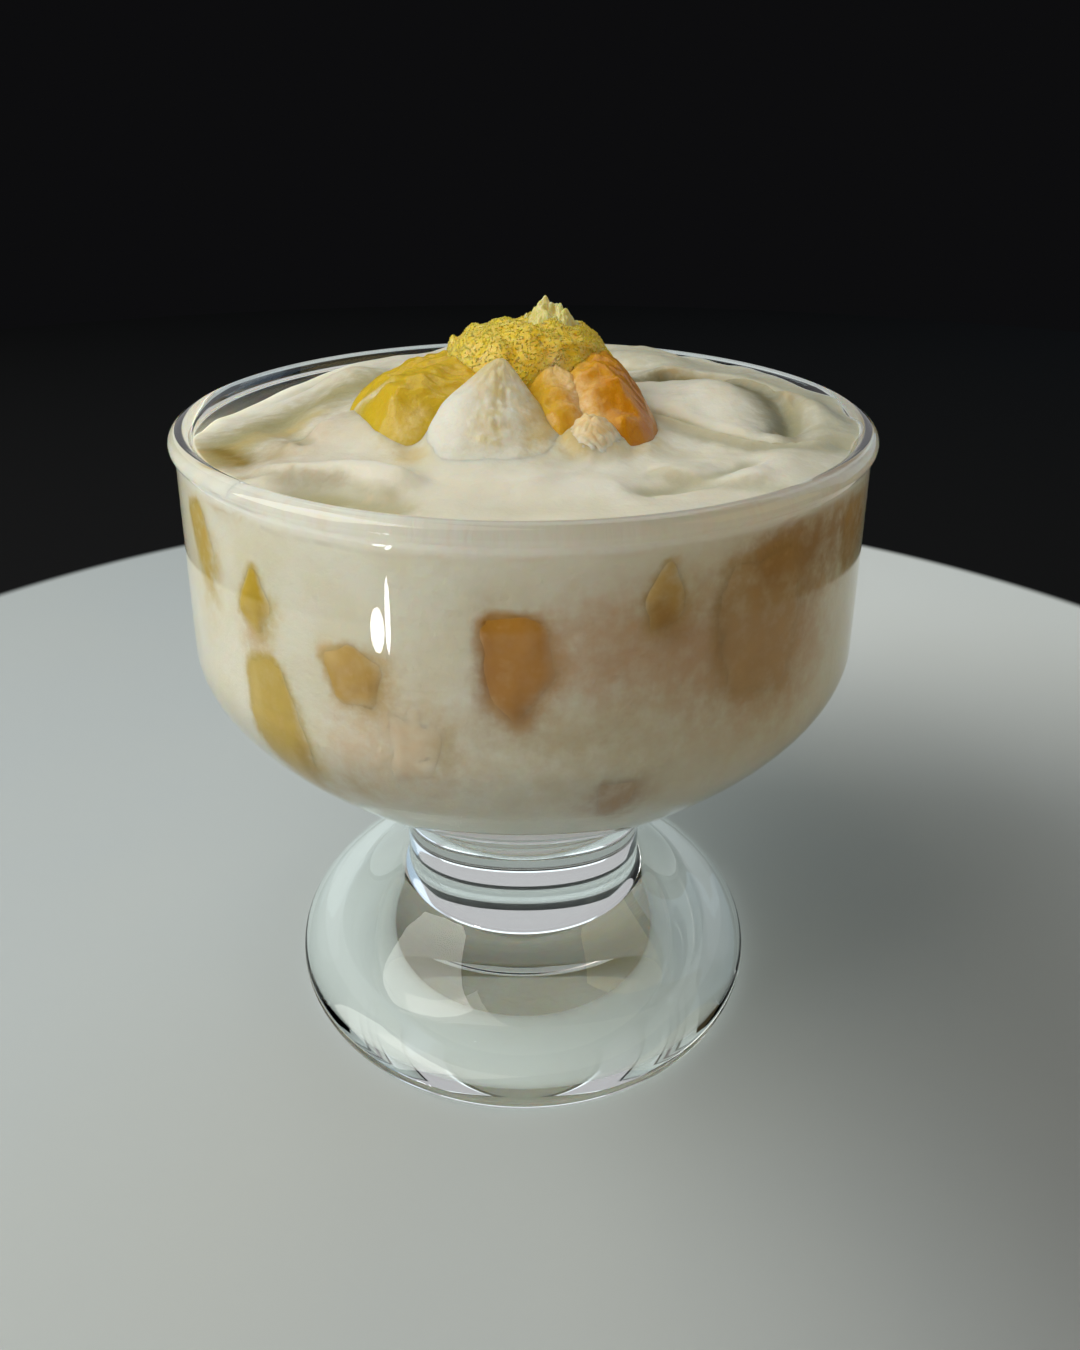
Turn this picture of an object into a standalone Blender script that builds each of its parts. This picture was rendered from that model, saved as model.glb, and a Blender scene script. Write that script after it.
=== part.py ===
"""Fruit mousse in a short-stemmed dessert glass.

The glass is one turned piece: a beaded rim, a straight wall, a rounded bowl, a solid stem and a disc foot.
The mousse fills the bowl and is spooned into folds on top. Pieces of yellow fruit sit in it against the
glass, and a heap of fruit and cream stands on it.

All sizes below are in millimetres; the meshes are made in metres. The origin is the middle of the foot's
underside, +Z is up and -Y is the front. Azimuths are in degrees, 0 at the front, positive to the right.
"""

import math

import bmesh
import bpy
from mathutils import Vector, noise

MM = 0.001

# ---------------------------------------------------------------- driving dimensions
RIM_RADIUS = 50.0
GLASS_HEIGHT = 93.5
FOOT_RADIUS = 37.75
STEM_RADIUS = 19.4
WALL = 2.5
GAP = 0.3                       # clearance between pieces that touch
GLASS_SEGMENTS = 48

# glass, outside; curves are given by their four control points as (radius, height)
BEAD_HEIGHT = 2.8
BEAD_STEP = 0.75                # how far the rim bead stands out from the wall
BEAD_LEDGE = 0.5                # height of the step under the bead
BOWL_RADIUS = RIM_RADIUS - BEAD_STEP
BOWL_TURN_Z = 62.6              # the wall is straight above this
STEM_TOP = (20.3, 29.8)         # the bowl rounds into the stem below this
STEM_NECK = (STEM_RADIUS, 28.0)
STEM_ROOT = (STEM_RADIUS, 16.4)
CONE_TOP = (20.1, 14.2)         # the stem spreads into the foot below this
FOOT_CREST = (33.5, 4.6)        # the foot's top levels out here
FOOT_BROW = (FOOT_RADIUS, 1.5)  # the widest point of the foot's edge
FOOT_REST = (35.2, 0.0)         # and the edge of its flat underside
BOWL_CURVE = ((BOWL_RADIUS, BOWL_TURN_Z), (BOWL_RADIUS, 52.6), (28.0, 38.8), STEM_TOP)
CONE_CURVE = (CONE_TOP, (23.4, 10.6), (29.6, 5.6), FOOT_CREST)
FOOT_TOP_CURVE = (FOOT_CREST, (35.7, 4.04), (37.4, 3.4), FOOT_BROW)
FOOT_EDGE_CURVE = (FOOT_BROW, (37.9, 0.7), (36.9, 0.0), FOOT_REST)

# glass, inside
WELL_RADIUS = BOWL_RADIUS - WALL
WELL_TURN_Z = 63.6              # the inner face is straight above this
WELL_FLOOR_Z = 27.5
RIM_LIP = 0.2                   # how much wider the bead's inner side is than the well
WELL_CURVE = ((WELL_RADIUS, WELL_TURN_Z), (WELL_RADIUS, 53.6), (26.0, 40.5), (17.4, 31.5))
FLOOR_CURVE = ((17.4, 31.5), (16.3, 30.3), (16.6, WELL_FLOOR_Z + 0.2), (13.6, WELL_FLOOR_Z + 0.1))

# mousse
FILL_DROP = 0.6                 # the mousse at the glass lies this far below the rim
CROWN = 1.4                     # and is this much higher in the middle
DIP_DEPTH = 3.4                 # extra drop at the left rear, where clear glass shows above the mousse
DIP_AZIMUTH = -106.0
DIP_SPREAD = 32.0
DIP_RADII = (32.0, 44.0)
MOUSSE_SEGMENTS = 56
MOUSSE_RINGS = 15
WELL_STEPS = 8                  # along the curve that the glass and the mousse share
FLOOR_STEPS = 3                 # and along the one that rounds it into the well's floor
TOP_DEPTH = 1.0                 # points closer than this to the rim's height belong to the top


# ---------------------------------------------------------------- curves and outlines
def bezier(p0, p1, p2, p3, steps):
    """Points along a cubic curve, both ends included."""
    points = []
    for i in range(steps + 1):
        t = i / steps
        weights = ((1 - t) ** 3, 3 * (1 - t) ** 2 * t, 3 * (1 - t) * t * t, t ** 3)
        points.append(tuple(sum(w * p[k] for w, p in zip(weights, (p0, p1, p2, p3))) for k in (0, 1)))
    return points


def arc(centre, radii, start, end, steps):
    """Points along part of an ellipse, both ends included, angles in degrees."""
    angles = (math.radians(start + (end - start) * i / steps) for i in range(steps + 1))
    return [(centre[0] + radii[0] * math.cos(a), centre[1] + radii[1] * math.sin(a)) for a in angles]


def beside(points, distance):
    """The inner points of a run, each moved this far to the right of its way along it."""
    moved = []
    for before, here, after in zip(points, points[1:], points[2:]):
        dx, dy = after[0] - before[0], after[1] - before[1]
        length = math.hypot(dx, dy)
        moved.append((here[0] + dy / length * distance, here[1] - dx / length * distance))
    return moved


def rounded(corners, share):
    """A closed outline with each corner cut off at this share of its sides."""
    points = []
    for here, after in zip(corners, corners[1:] + corners[:1]):
        for along in (share, 1 - share):
            points.append(tuple(a + (b - a) * along for a, b in zip(here, after)))
    return points


WELL_TABLE = bezier(*WELL_CURVE, 60)
SLOPE_STEP = 0.4


def well_radius(z):
    """Inside radius of the bowl at height z."""
    for (r0, z0), (r1, z1) in zip(WELL_TABLE, WELL_TABLE[1:]):
        if z1 <= z <= z0 and z0 > z1:
            return r0 + (r1 - r0) * (z0 - z) / (z0 - z1)
    return WELL_RADIUS if z > WELL_TABLE[0][1] else 0.0


def well_point(azimuth, z, depth):
    """A point that lies depth inside the bowl's inner face, square to it."""
    slope = math.atan2(well_radius(z + SLOPE_STEP) - well_radius(z - SLOPE_STEP), 2 * SLOPE_STEP)
    radius = well_radius(z) - depth * math.cos(slope)
    height = z + depth * math.sin(slope)
    a = math.radians(azimuth)
    return radius * math.sin(a), -radius * math.cos(a), height


# ---------------------------------------------------------------- the spooned top of the mousse
# Humps: centre x, y, half lengths, turn in degrees, height
HUMPS = (
    (-19.0, -20.0, 12.0, 8.0, -20.0, 2.8),     # left, in front of the yellow fruit
    (-21.0, -39.0, 8.0, 3.6, -25.0, -2.2),     # hollow between it and the glass
    (28.0, 1.0, 8.5, 10.0, 10.0, 3.2),         # right, inside the curl
    (42.0, -9.0, 4.0, 8.5, 12.0, 2.0),         # along the glass beyond the curl
    (32.0, -29.5, 9.0, 4.8, 38.0, 2.0),        # right front
    (2.0, -37.0, 16.0, 4.5, 0.0, 0.9),         # front
    (-8.0, 31.0, 13.0, 8.0, 15.0, 2.4),        # rear
    (20.0, 32.0, 9.0, 6.0, -35.0, 1.8),        # right rear
    (-29.0, 17.0, 6.0, 8.0, 25.0, 1.8),        # left rear
)
# Sweeps of the spoon: centre x, y, radius, from, to in degrees from +X, half width, height or depth
SWEEPS = (
    (28.0, 4.5, 11.8, -15.0, 125.0, 2.1, -2.6),     # curl behind the right hump
    (24.0, -4.0, 14.6, -48.0, 5.0, 2.1, -1.8),      # its return on the right
    (48.0, 12.0, 35.0, 210.0, 248.0, 1.7, -1.7),    # crease in front of the right hump
    (40.0, -40.0, 21.5, 68.0, 104.0, 1.7, -1.4),    # crease between the two right lobes
    (4.0, -8.0, 31.0, -75.0, -38.0, 2.0, -1.1),     # hollow at the right front
    (-17.0, -18.0, 11.5, 110.0, 212.0, 1.7, -1.6),  # crease at the left hump's side
    (-24.0, -53.0, 19.5, 52.0, 112.0, 1.8, 1.2),    # lip above the left hollow
    (-5.0, 0.0, 29.5, 148.0, 216.0, 3.0, -1.5),     # valley at the left
    (4.0, 2.0, 27.0, 55.0, 150.0, 2.2, -2.0),       # groove behind the heap
    (4.0, 6.0, 34.5, 48.0, 122.0, 2.2, 1.3),        # ridge behind that groove
)
RIPPLE_HEIGHT = 0.5
RIPPLE_LENGTH = 8.0


def ease(t):
    t = min(max(t, 0.0), 1.0)
    return t * t * (3 - 2 * t)


def hump_height(x, y, cx, cy, a, b, turn, height):
    c, s = math.cos(math.radians(turn)), math.sin(math.radians(turn))
    u = ((x - cx) * c + (y - cy) * s) / a
    v = (-(x - cx) * s + (y - cy) * c) / b
    return height * math.exp(-(u * u + v * v))


def sweep_height(x, y, cx, cy, radius, start, end, width, height):
    middle, half = (start + end) / 2, (end - start) / 2
    turn = (math.degrees(math.atan2(y - cy, x - cx)) - middle + 180) % 360 - 180
    across = (math.hypot(x - cx, y - cy) - radius) / width
    return height * math.exp(-across * across) * ease((half - abs(turn)) / (0.45 * half) + 0.5)


def mousse_top(x, y):
    """Height of the mousse's surface at x, y."""
    r = math.hypot(x, y)
    z = GLASS_HEIGHT - FILL_DROP + CROWN * (1 - ease(r / WELL_RADIUS))
    z += sum(hump_height(x, y, *hump) for hump in HUMPS) * ease((WELL_RADIUS + 4 - r) / 12)
    z += sum(sweep_height(x, y, *sweep) for sweep in SWEEPS)
    z += RIPPLE_HEIGHT * noise.noise(Vector((x, y, 0)) / RIPPLE_LENGTH)
    turn = (math.degrees(math.atan2(x, -y)) - DIP_AZIMUTH + 180) % 360 - 180
    inward = ease((r - DIP_RADII[0]) / (DIP_RADII[1] - DIP_RADII[0]))
    return z - DIP_DEPTH * math.exp(-((turn / DIP_SPREAD) ** 2)) * inward


# ---------------------------------------------------------------- fruit against the glass
# name: corners as (azimuth, height) on the bowl's inner face, and how deep the piece goes
WALL_FRUIT = {
    "fruit_wall_far_left": (((-61, 87), (-55, 89), (-50.5, 82), (-53, 75), (-58, 80)), 7.0),
    "fruit_wall_left_rim": (((-53, 91.4), (-44, 91.8), (-43.5, 88.5), (-52, 88.0)), 5.0),
    "fruit_wall_left_small": (((-41, 84.5), (-37, 78.5), (-40.5, 74), (-46, 77)), 6.0),
    "fruit_wall_left_long": (
        ((-44.5, 71.5), (-37, 73), (-32.5, 64.5), (-29.5, 54), (-36.5, 53), (-44.5, 62)), 8.0,
    ),
    "fruit_wall_left_blob": (((-29.5, 75.5), (-23.5, 77.5), (-18.5, 75), (-20, 69), (-26.5, 69)), 8.0),
    "fruit_wall_pale": (((-19.5, 69.3), (-14, 72), (-9.5, 68), (-12, 59.5), (-20, 60.5)), 6.0),
    "fruit_wall_front": (((-6.2, 82.8), (3.2, 83.0), (5.0, 74.5), (-1, 68.8), (-5.2, 72.5)), 9.0),
    "fruit_wall_front_low": (((9.5, 61.5), (16.5, 61), (14.5, 55), (11, 56)), 6.0),
    "fruit_wall_right_small": (((19.4, 89), (22, 84), (21.5, 80.5), (16.5, 79), (15.5, 84)), 7.0),
    "fruit_wall_right_large": (((27, 87), (41.5, 87.5), (44, 77), (42, 66.5), (29, 68.5), (25.5, 78)), 9.0),
    "fruit_wall_far_right": (((53, 88), (66, 88.5), (67, 80), (56, 78)), 8.0),
    "fruit_wall_rear_1": (((84, 82), (93, 84), (97, 75), (88, 71)), 8.0),
    "fruit_wall_rear_2": (((109, 70), (118, 72), (121, 60), (112, 58)), 8.0),
    "fruit_wall_rear_3": (((132, 87), (143, 86), (145, 78), (137, 74)), 9.0),
    "fruit_wall_rear_4": (((160, 75), (170, 77), (173, 68), (163, 64)), 8.0),
    "fruit_wall_rear_5": (((188, 84), (199, 85), (201, 77), (192, 73)), 8.0),
    "fruit_wall_rear_6": (((214, 68), (223, 72), (226, 61), (217, 57)), 8.0),
    "fruit_wall_rear_7": (((240, 80), (249, 81), (251, 73), (243, 70)), 8.0),
}

# ---------------------------------------------------------------- the heap on top
# name: corners of its edge in plan, its highest point in plan, its height above the mousse, how full its
# sides are, how much more gently than its back its front runs out, points round and up, and the height and
# length of its bumps. What stands on the pulp is lifted clear of the mousse.
HEAP = {
    "cream_dollop": dict(
        edge=(
            (-13.5, -17), (-13, -27), (-12, -36), (-4, -39), (5, -37),
            (9.5, -28), (6, -15), (0, -8), (-9, -9),
        ),
        crest=(-2.6, -14.5), height=8.8, fullness=(1.3, 0.9), skirt=0.55, points=(22, 6), relief=(0.3, 5.0),
    ),
    "cream_fleck": dict(
        edge=((4.5, -29), (11, -30.5), (14, -25), (12, -18), (7.5, -16.5), (4.5, -21)),
        crest=(8.5, -23.5), height=4.8, fullness=(2.0, 0.8), skirt=0.3, points=(14, 4), relief=(0.3, 3.0),
    ),
    "fruit_strip": dict(
        edge=((-1, -6), (8, -6), (10.5, -15), (9, -28), (4, -29), (-1, -18)),
        crest=(4.0, -10.0), height=8.0, fullness=(2.0, 0.8), skirt=0.2, points=(18, 5), relief=(0.4, 3.0),
    ),
    "fruit_left": dict(
        edge=((-25, -1), (-25, -8), (-20, -21), (-13, -34), (-6, -20), (-3, -6), (-10, 6), (-20, 4.5)),
        crest=(-9.5, -5.0), height=8.2, fullness=(2.2, 0.62), points=(22, 6), relief=(0.6, 4.0),
    ),
    "fruit_right": dict(
        edge=((5, -27), (14.5, -27), (18, -20), (18.2, -6), (15.5, 4), (8, 5), (3, -5), (3.5, -17)),
        crest=(10.0, -6.0), height=9.4, fullness=(1.7, 0.85), points=(22, 6), relief=(0.6, 4.0),
    ),
    "fruit_crumb": dict(
        edge=((-1, -1), (1, -4), (6, -4), (9, -1.5), (8, 2.5), (3, 4), (-0.5, 2)),
        crest=(3.4, -0.4), height=14.6, fullness=(1.3, 0.9), points=(16, 4), relief=(1.2, 1.7),
        lift=10.4, belly=3.6,
    ),
    "fruit_pulp": dict(
        edge=(
            (-13, 2), (-13.2, -6), (-7, -12), (0, -14), (9, -12.5),
            (13.8, -8), (15.6, 0), (12, 9.5), (2, 12), (-8, 9),
        ),
        crest=(0.5, -1.0), height=12.4, fullness=(3.6, 0.58), points=(30, 7), relief=(1.1, 2.8),
    ),
}
HEAP_BOTTOM_RINGS = 2
HEAP_ROUNDING = 0.25
HEAP_SEAT = 0.6                 # how far a piece's edge lies under the mousse's surface
HEAP_BELLY = 2.0                # how much deeper its middle goes
SKIRT_WAY = (0.7, -0.71)        # where a skirt runs out furthest, in plan
WALL_FRUIT_ROUNDING = 0.13
WALL_FRUIT_TAPER = 0.22
WALL_FRUIT_CROWN = 0.6          # how much deeper the middle of its inner end goes
POCKET_REACH = 2.0              # how far a pocket is cut out past the bowl's inner face

COLOURS = {
    "glass": (0.86, 0.90, 0.88),
    "mousse": (0.78, 0.72, 0.56),
    "cream": (0.84, 0.79, 0.66),
    "fruit": (0.72, 0.42, 0.04),
    "fruit_pale": (0.78, 0.62, 0.28),
}
ROUGHNESS = {"glass": 0.05, "mousse": 0.4, "cream": 0.4, "fruit": 0.3, "fruit_pale": 0.35}
SHARP_ANGLE = math.radians(50)


# ---------------------------------------------------------------- mesh helpers
def material(name, colour, roughness):
    """A plain material of one colour."""
    mat = bpy.data.materials.new(name)
    mat.use_nodes = True
    shader = mat.node_tree.nodes["Principled BSDF"]
    shader.inputs["Base Color"].default_value = (*colour, 1.0)
    shader.inputs["Roughness"].default_value = roughness
    shader.inputs["Metallic"].default_value = 0.0
    mat.diffuse_color = (*colour, 1.0)
    return mat


def new_object(name, bm, mat):
    """The mesh as an object of this name, shaded smooth; the bmesh is freed."""
    mesh = bpy.data.meshes.new(name)
    bm.to_mesh(mesh)
    bm.free()
    mesh.materials.append(mat)
    mesh.shade_smooth()
    mesh.set_sharp_from_angle(angle=SHARP_ANGLE)
    ob = bpy.data.objects.new(name, mesh)
    bpy.context.scene.collection.objects.link(ob)
    return ob


def turned(profile, segments):
    """A closed bmesh turned about Z from (radius, height) points that start and end on the axis."""
    bm = bmesh.new()
    verts = [bm.verts.new((r * MM, 0, z * MM)) for r, z in profile]
    edges = [bm.edges.new(pair) for pair in zip(verts, verts[1:])]
    bmesh.ops.spin(
        bm, geom=verts + edges, cent=(0, 0, 0), axis=(0, 0, 1), angle=math.tau, steps=segments, use_merge=True
    )
    bmesh.ops.remove_doubles(bm, verts=bm.verts[:], dist=0.01 * MM)
    bmesh.ops.recalc_face_normals(bm, faces=bm.faces[:])
    return bm


def skinned(rings, first, last):
    """A closed bmesh through rings of points, with a single point closing each end."""
    bm = bmesh.new()
    rows = [[bm.verts.new(Vector(p) * MM) for p in ring] for ring in rings]
    count = len(rows[0])
    for low, high in zip(rows, rows[1:]):
        for i in range(count):
            j = (i + 1) % count
            bm.faces.new((low[i], low[j], high[j]))
            bm.faces.new((low[i], high[j], high[i]))
    for row, tip in ((rows[0], first), (rows[-1], last)):
        point = bm.verts.new(Vector(tip) * MM)
        for i in range(count):
            bm.faces.new((row[i], row[(i + 1) % count], point))
    bmesh.ops.recalc_face_normals(bm, faces=bm.faces[:])
    return bm


def grown(ob, distance):
    """A hidden copy of an object with every point moved out by the distance, to cut with."""
    bm = bmesh.new()
    bm.from_mesh(ob.data)
    bm.normal_update()
    shifts = [vert.normal * distance * MM for vert in bm.verts]
    for vert, shift in zip(bm.verts, shifts):
        vert.co += shift
    cutter = new_object(ob.name + "_cutter", bm, ob.data.materials[0])
    cutter.hide_render = True
    cutter.display_type = "WIRE"
    return cutter


def cut(ob, cutters):
    """Cuts the object with each cutter and keeps its largest piece."""
    for cutter in cutters:
        step = ob.modifiers.new("cut", "BOOLEAN")
        step.operation = "DIFFERENCE"
        step.solver = "EXACT"
        step.object = cutter
    bpy.context.view_layer.update()
    ready = ob.evaluated_get(bpy.context.evaluated_depsgraph_get())
    whole = bpy.data.meshes.new_from_object(ready)
    ob.modifiers.clear()
    bm = bmesh.new()
    bm.from_mesh(whole)
    keep_largest(bm)
    bmesh.ops.triangulate(bm, faces=bm.faces[:])
    bm.to_mesh(ob.data)
    bm.free()
    bpy.data.meshes.remove(whole)
    ob.data.shade_smooth()
    ob.data.set_sharp_from_angle(angle=SHARP_ANGLE)


def keep_largest(bm):
    """Deletes every separate piece of the mesh but the one with the most faces."""
    bm.faces.ensure_lookup_table()
    left, pieces = set(bm.faces), []
    while left:
        piece, todo = set(), [left.pop()]
        while todo:
            face = todo.pop()
            piece.add(face)
            beside = [other for edge in face.edges if len(edge.link_faces) == 2 for other in edge.link_faces]
            for other in beside:
                if other in left:
                    left.remove(other)
                    todo.append(other)
        pieces.append(piece)
    pieces.sort(key=len)
    spare = [face for piece in pieces[:-1] for face in piece]
    bmesh.ops.delete(bm, geom=spare, context="FACES")


def discard(obs):
    """Removes the objects."""
    for ob in obs:
        bpy.data.objects.remove(ob)


# ---------------------------------------------------------------- the glass
def well_outline():
    """The bowl's inner face, from where its wall stops being straight to the middle of its floor."""
    return bezier(*WELL_CURVE, WELL_STEPS) + bezier(*FLOOR_CURVE, FLOOR_STEPS)[1:] + [(0.0, WELL_FLOOR_Z)]


def glass_profile():
    """The glass's outline, from the axis under the foot, round the outside and down the inside."""
    foot = [(0.0, 0.0)] + bezier(*FOOT_EDGE_CURVE, 2)[::-1] + bezier(*FOOT_TOP_CURVE, 3)[-2::-1]
    stem = bezier(*CONE_CURVE, 4)[-2::-1] + [STEM_ROOT, STEM_NECK]
    bowl = bezier(*BOWL_CURVE, 8)[::-1]
    ledge_z = GLASS_HEIGHT - BEAD_HEIGHT - BEAD_LEDGE
    half_height, half_width = BEAD_HEIGHT / 2, (RIM_RADIUS - WELL_RADIUS - RIM_LIP) / 2
    bead = arc((RIM_RADIUS - half_width, GLASS_HEIGHT - half_height), (half_width, half_height), -50, 200, 6)
    wall = [(WELL_RADIUS, ledge_z), (WELL_RADIUS, (ledge_z + WELL_TURN_Z) / 2)]
    return foot + stem + bowl + [(BOWL_RADIUS, ledge_z)] + bead + wall + well_outline()


def make_glass(mat):
    return new_object("glass", turned(glass_profile(), GLASS_SEGMENTS), mat)


# ---------------------------------------------------------------- the mousse
def make_mousse(mat):
    """The mousse: the bowl's inside less the gap, closed by the spooned top."""
    edge = WELL_RADIUS - GAP
    side = [(0.0, WELL_FLOOR_Z + GAP)] + beside(well_outline(), GAP)[::-1]
    side += [(edge, WELL_TURN_Z), (edge, (WELL_TURN_Z + GLASS_HEIGHT) / 2)]
    top = [(edge * (MOUSSE_RINGS - i) / MOUSSE_RINGS, GLASS_HEIGHT) for i in range(MOUSSE_RINGS + 1)]
    bm = turned(side + top, MOUSSE_SEGMENTS)
    for vert in bm.verts:
        if vert.co.z > (GLASS_HEIGHT - TOP_DEPTH) * MM:
            vert.co.z = mousse_top(vert.co.x / MM, vert.co.y / MM) * MM
    bmesh.ops.triangulate(bm, faces=bm.faces[:])
    return new_object("mousse", bm, mat)


# ---------------------------------------------------------------- fruit against the glass
def wall_fruit_mesh(corners, depth, clearance):
    """A piece of fruit whose outer face follows the bowl. With clearance, the pocket it sits in."""
    outline = rounded(list(corners), WALL_FRUIT_ROUNDING)
    middle = (sum(a for a, z in outline) / len(outline), sum(z for a, z in outline) / len(outline))
    inner = depth + clearance

    def ring(inset, share=1.0):
        tapered = share * (1 - WALL_FRUIT_TAPER * (inset - GAP) / depth)
        points = []
        for azimuth, z in outline:
            da, dz = azimuth - middle[0], z - middle[1]
            length = math.hypot(math.radians(da) * WELL_RADIUS, dz)
            scale = tapered + clearance / length
            points.append(well_point(middle[0] + da * scale, middle[1] + dz * scale, inset))
        return points

    outer = ring(-POCKET_REACH) if clearance else ring(GAP, 0.5)
    face = well_point(*middle, -POCKET_REACH if clearance else GAP)
    return skinned([outer, ring(GAP), ring(inner)], face, well_point(*middle, inner + WALL_FRUIT_CROWN))


def make_wall_fruit(name, corners, depth, mat):
    """The piece and the cutter for its pocket."""
    piece = new_object(name, wall_fruit_mesh(corners, depth, 0.0), mat)
    pocket = new_object(name + "_pocket", wall_fruit_mesh(corners, depth, GAP), mat)
    pocket.hide_render = True
    pocket.display_type = "WIRE"
    return piece, pocket


# ---------------------------------------------------------------- the heap
def outline_reach(outline, crest, angle):
    """How far the outline is from the crest in a direction, in plan."""
    dx, dy = math.cos(angle), math.sin(angle)
    reach = 0.0
    for (x0, y0), (x1, y1) in zip(outline, outline[1:] + outline[:1]):
        ex, ey = x1 - x0, y1 - y0
        cross = dx * ey - dy * ex
        if abs(cross) < 1e-9:
            continue
        along = ((x0 - crest[0]) * ey - (y0 - crest[1]) * ex) / cross
        share = ((x0 - crest[0]) * dy - (y0 - crest[1]) * dx) / cross
        if along > 0 and -1e-6 <= share <= 1 + 1e-6:
            reach = max(reach, along)
    return reach


def make_mound(
    name, mat, edge, crest, height, fullness, points, relief, skirt=0.0, lift=0.0, belly=HEAP_BELLY,
):
    """A rounded piece with its edge on the mousse, or lifted above it."""
    outline = rounded(list(edge), HEAP_ROUNDING)
    around, up = points
    size, length = relief
    sharp = [outline_reach(outline, crest, math.tau * i / around) for i in range(around)]
    reaches = [sharp[i] / 2 + (sharp[i - 1] + sharp[(i + 1) % around]) / 4 for i in range(around)]

    def spot(i, share):
        angle = math.tau * i / around
        reach = reaches[i] * share
        return crest[0] + reach * math.cos(angle), crest[1] + reach * math.sin(angle)

    def top(x, y, share):
        away = Vector((x - crest[0], y - crest[1])).normalized()
        power = fullness[1] + skirt * ease(away.dot(Vector(SKIRT_WAY)) * 1.25 - 0.25)
        rise = (1 - share ** fullness[0]) ** power
        z = mousse_top(x, y) - HEAP_SEAT + lift + (height - lift) * rise
        rough = noise.noise(Vector((x, y, z)) / length)
        return x, y, z + size * rough * ease((1 - share) * 6)

    def bottom(x, y, share):
        return x, y, mousse_top(x, y) - HEAP_SEAT + lift - belly * (1 - share ** 2)

    tops = [[top(*spot(i, k / up), k / up) for i in range(around)] for k in range(1, up + 1)]
    lows = [k / (HEAP_BOTTOM_RINGS + 1) for k in range(HEAP_BOTTOM_RINGS, 0, -1)]
    bottoms = [[bottom(*spot(i, share), share) for i in range(around)] for share in lows]
    bm = skinned(tops + bottoms, top(*crest, 0.0), bottom(*crest, 0.0))
    return new_object(name, bm, mat)


def make_heap(mats):
    """The pieces of the heap, each cut clear of those made before it."""
    cutters = []
    for name, shape in HEAP.items():
        kind = "cream" if name.startswith("cream") else "fruit_pale" if name.endswith("crumb") else "fruit"
        piece = make_mound(name, mats[kind], **shape)
        around = grown(piece, GAP)
        cut(piece, cutters)
        cutters.append(around)
    return cutters


# ---------------------------------------------------------------- the whole
def main():
    for ob in list(bpy.data.objects):
        bpy.data.objects.remove(ob)
    mats = {name: material(name, colour, ROUGHNESS[name]) for name, colour in COLOURS.items()}
    make_glass(mats["glass"])
    mousse = make_mousse(mats["mousse"])
    cutters = make_heap(mats)
    for name, (corners, depth) in WALL_FRUIT.items():
        mat = mats["fruit_pale"] if name.endswith("pale") else mats["fruit"]
        cutters.append(make_wall_fruit(name, corners, depth, mat)[1])
    cut(mousse, cutters)
    discard(cutters)


main()
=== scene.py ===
"""Looks of the fruit mousse in its footed glass.

Sizes are in millimetres and turned to metres by MM. Azimuths are in degrees, 0 at the front (-Y), positive
to the right. The glass is turned from one outline. The mousse is one closed body whose top is worked out
from the spoon's humps and sweeps. The fruit against the glass and the heap on top are modelled pieces.
"""

import math

import bmesh
import bpy
import numpy as np
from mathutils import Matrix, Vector, noise


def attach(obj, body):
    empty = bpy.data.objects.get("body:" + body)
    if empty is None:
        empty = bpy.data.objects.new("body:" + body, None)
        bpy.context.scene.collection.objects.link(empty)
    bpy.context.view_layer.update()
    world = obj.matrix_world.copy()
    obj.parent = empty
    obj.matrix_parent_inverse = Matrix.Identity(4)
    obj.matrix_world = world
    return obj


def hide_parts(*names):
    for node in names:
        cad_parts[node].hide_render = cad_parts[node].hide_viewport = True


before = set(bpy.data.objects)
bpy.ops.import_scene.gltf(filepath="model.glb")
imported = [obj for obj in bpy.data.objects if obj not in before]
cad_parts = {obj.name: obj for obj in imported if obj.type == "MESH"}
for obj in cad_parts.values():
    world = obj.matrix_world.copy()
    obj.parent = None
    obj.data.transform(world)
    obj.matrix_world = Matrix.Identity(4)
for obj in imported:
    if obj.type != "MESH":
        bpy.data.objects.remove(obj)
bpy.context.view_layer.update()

MM = 0.001

# ---- sizes of the glass
RIM_RADIUS = 50.0
GLASS_HEIGHT = 93.5
STEM_RADIUS = 19.4
WALL = 2.5
BEAD_HEIGHT = 2.8
BEAD_STEP = 0.75  # how far the rim bead stands out from the wall
BOWL_RADIUS = RIM_RADIUS - BEAD_STEP
WELL_RADIUS = BOWL_RADIUS - WALL
BOWL_TURN_Z = 62.6
WELL_TURN_Z = 63.6
WELL_FLOOR_Z = 27.5
STEM_TOP = (20.3, 29.8)
BOWL_CURVE = ((BOWL_RADIUS, BOWL_TURN_Z), (BOWL_RADIUS, 52.6), (28.0, 38.8), STEM_TOP)
NECK_CURVE = (STEM_TOP, (19.75, 29.15), (STEM_RADIUS, 28.8), (STEM_RADIUS, 28.0))
FILLET_CURVE = ((STEM_RADIUS, 16.4), (STEM_RADIUS, 15.7), (19.6, 14.9), (20.1, 14.2))
CONE_CURVE = ((20.1, 14.2), (23.4, 10.6), (28.4, 5.3), (32.6, 4.7))
FOOT_TOP_CURVE = ((32.6, 4.7), (34.8, 4.4), (36.5, 3.3), (37.5, 2.0))
FOOT_EDGE_CURVE = ((37.5, 2.0), (37.95, 1.3), (37.9, 0.0), (36.2, 0.0))
WELL_CURVE = ((WELL_RADIUS, WELL_TURN_Z), (WELL_RADIUS, 53.6), (26.0, 40.5), (17.4, 31.5))
FLOOR_CURVE = ((17.4, 31.5), (16.3, 30.3), (16.6, WELL_FLOOR_Z + 0.2), (13.6, WELL_FLOOR_Z + 0.1))
LEDGE_CURVE = ((BOWL_RADIUS, 89.4), (BOWL_RADIUS, 90.4), (BOWL_RADIUS + 0.05, 90.8))  # and on to the bead
GLASS_SEGMENTS = 288
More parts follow.
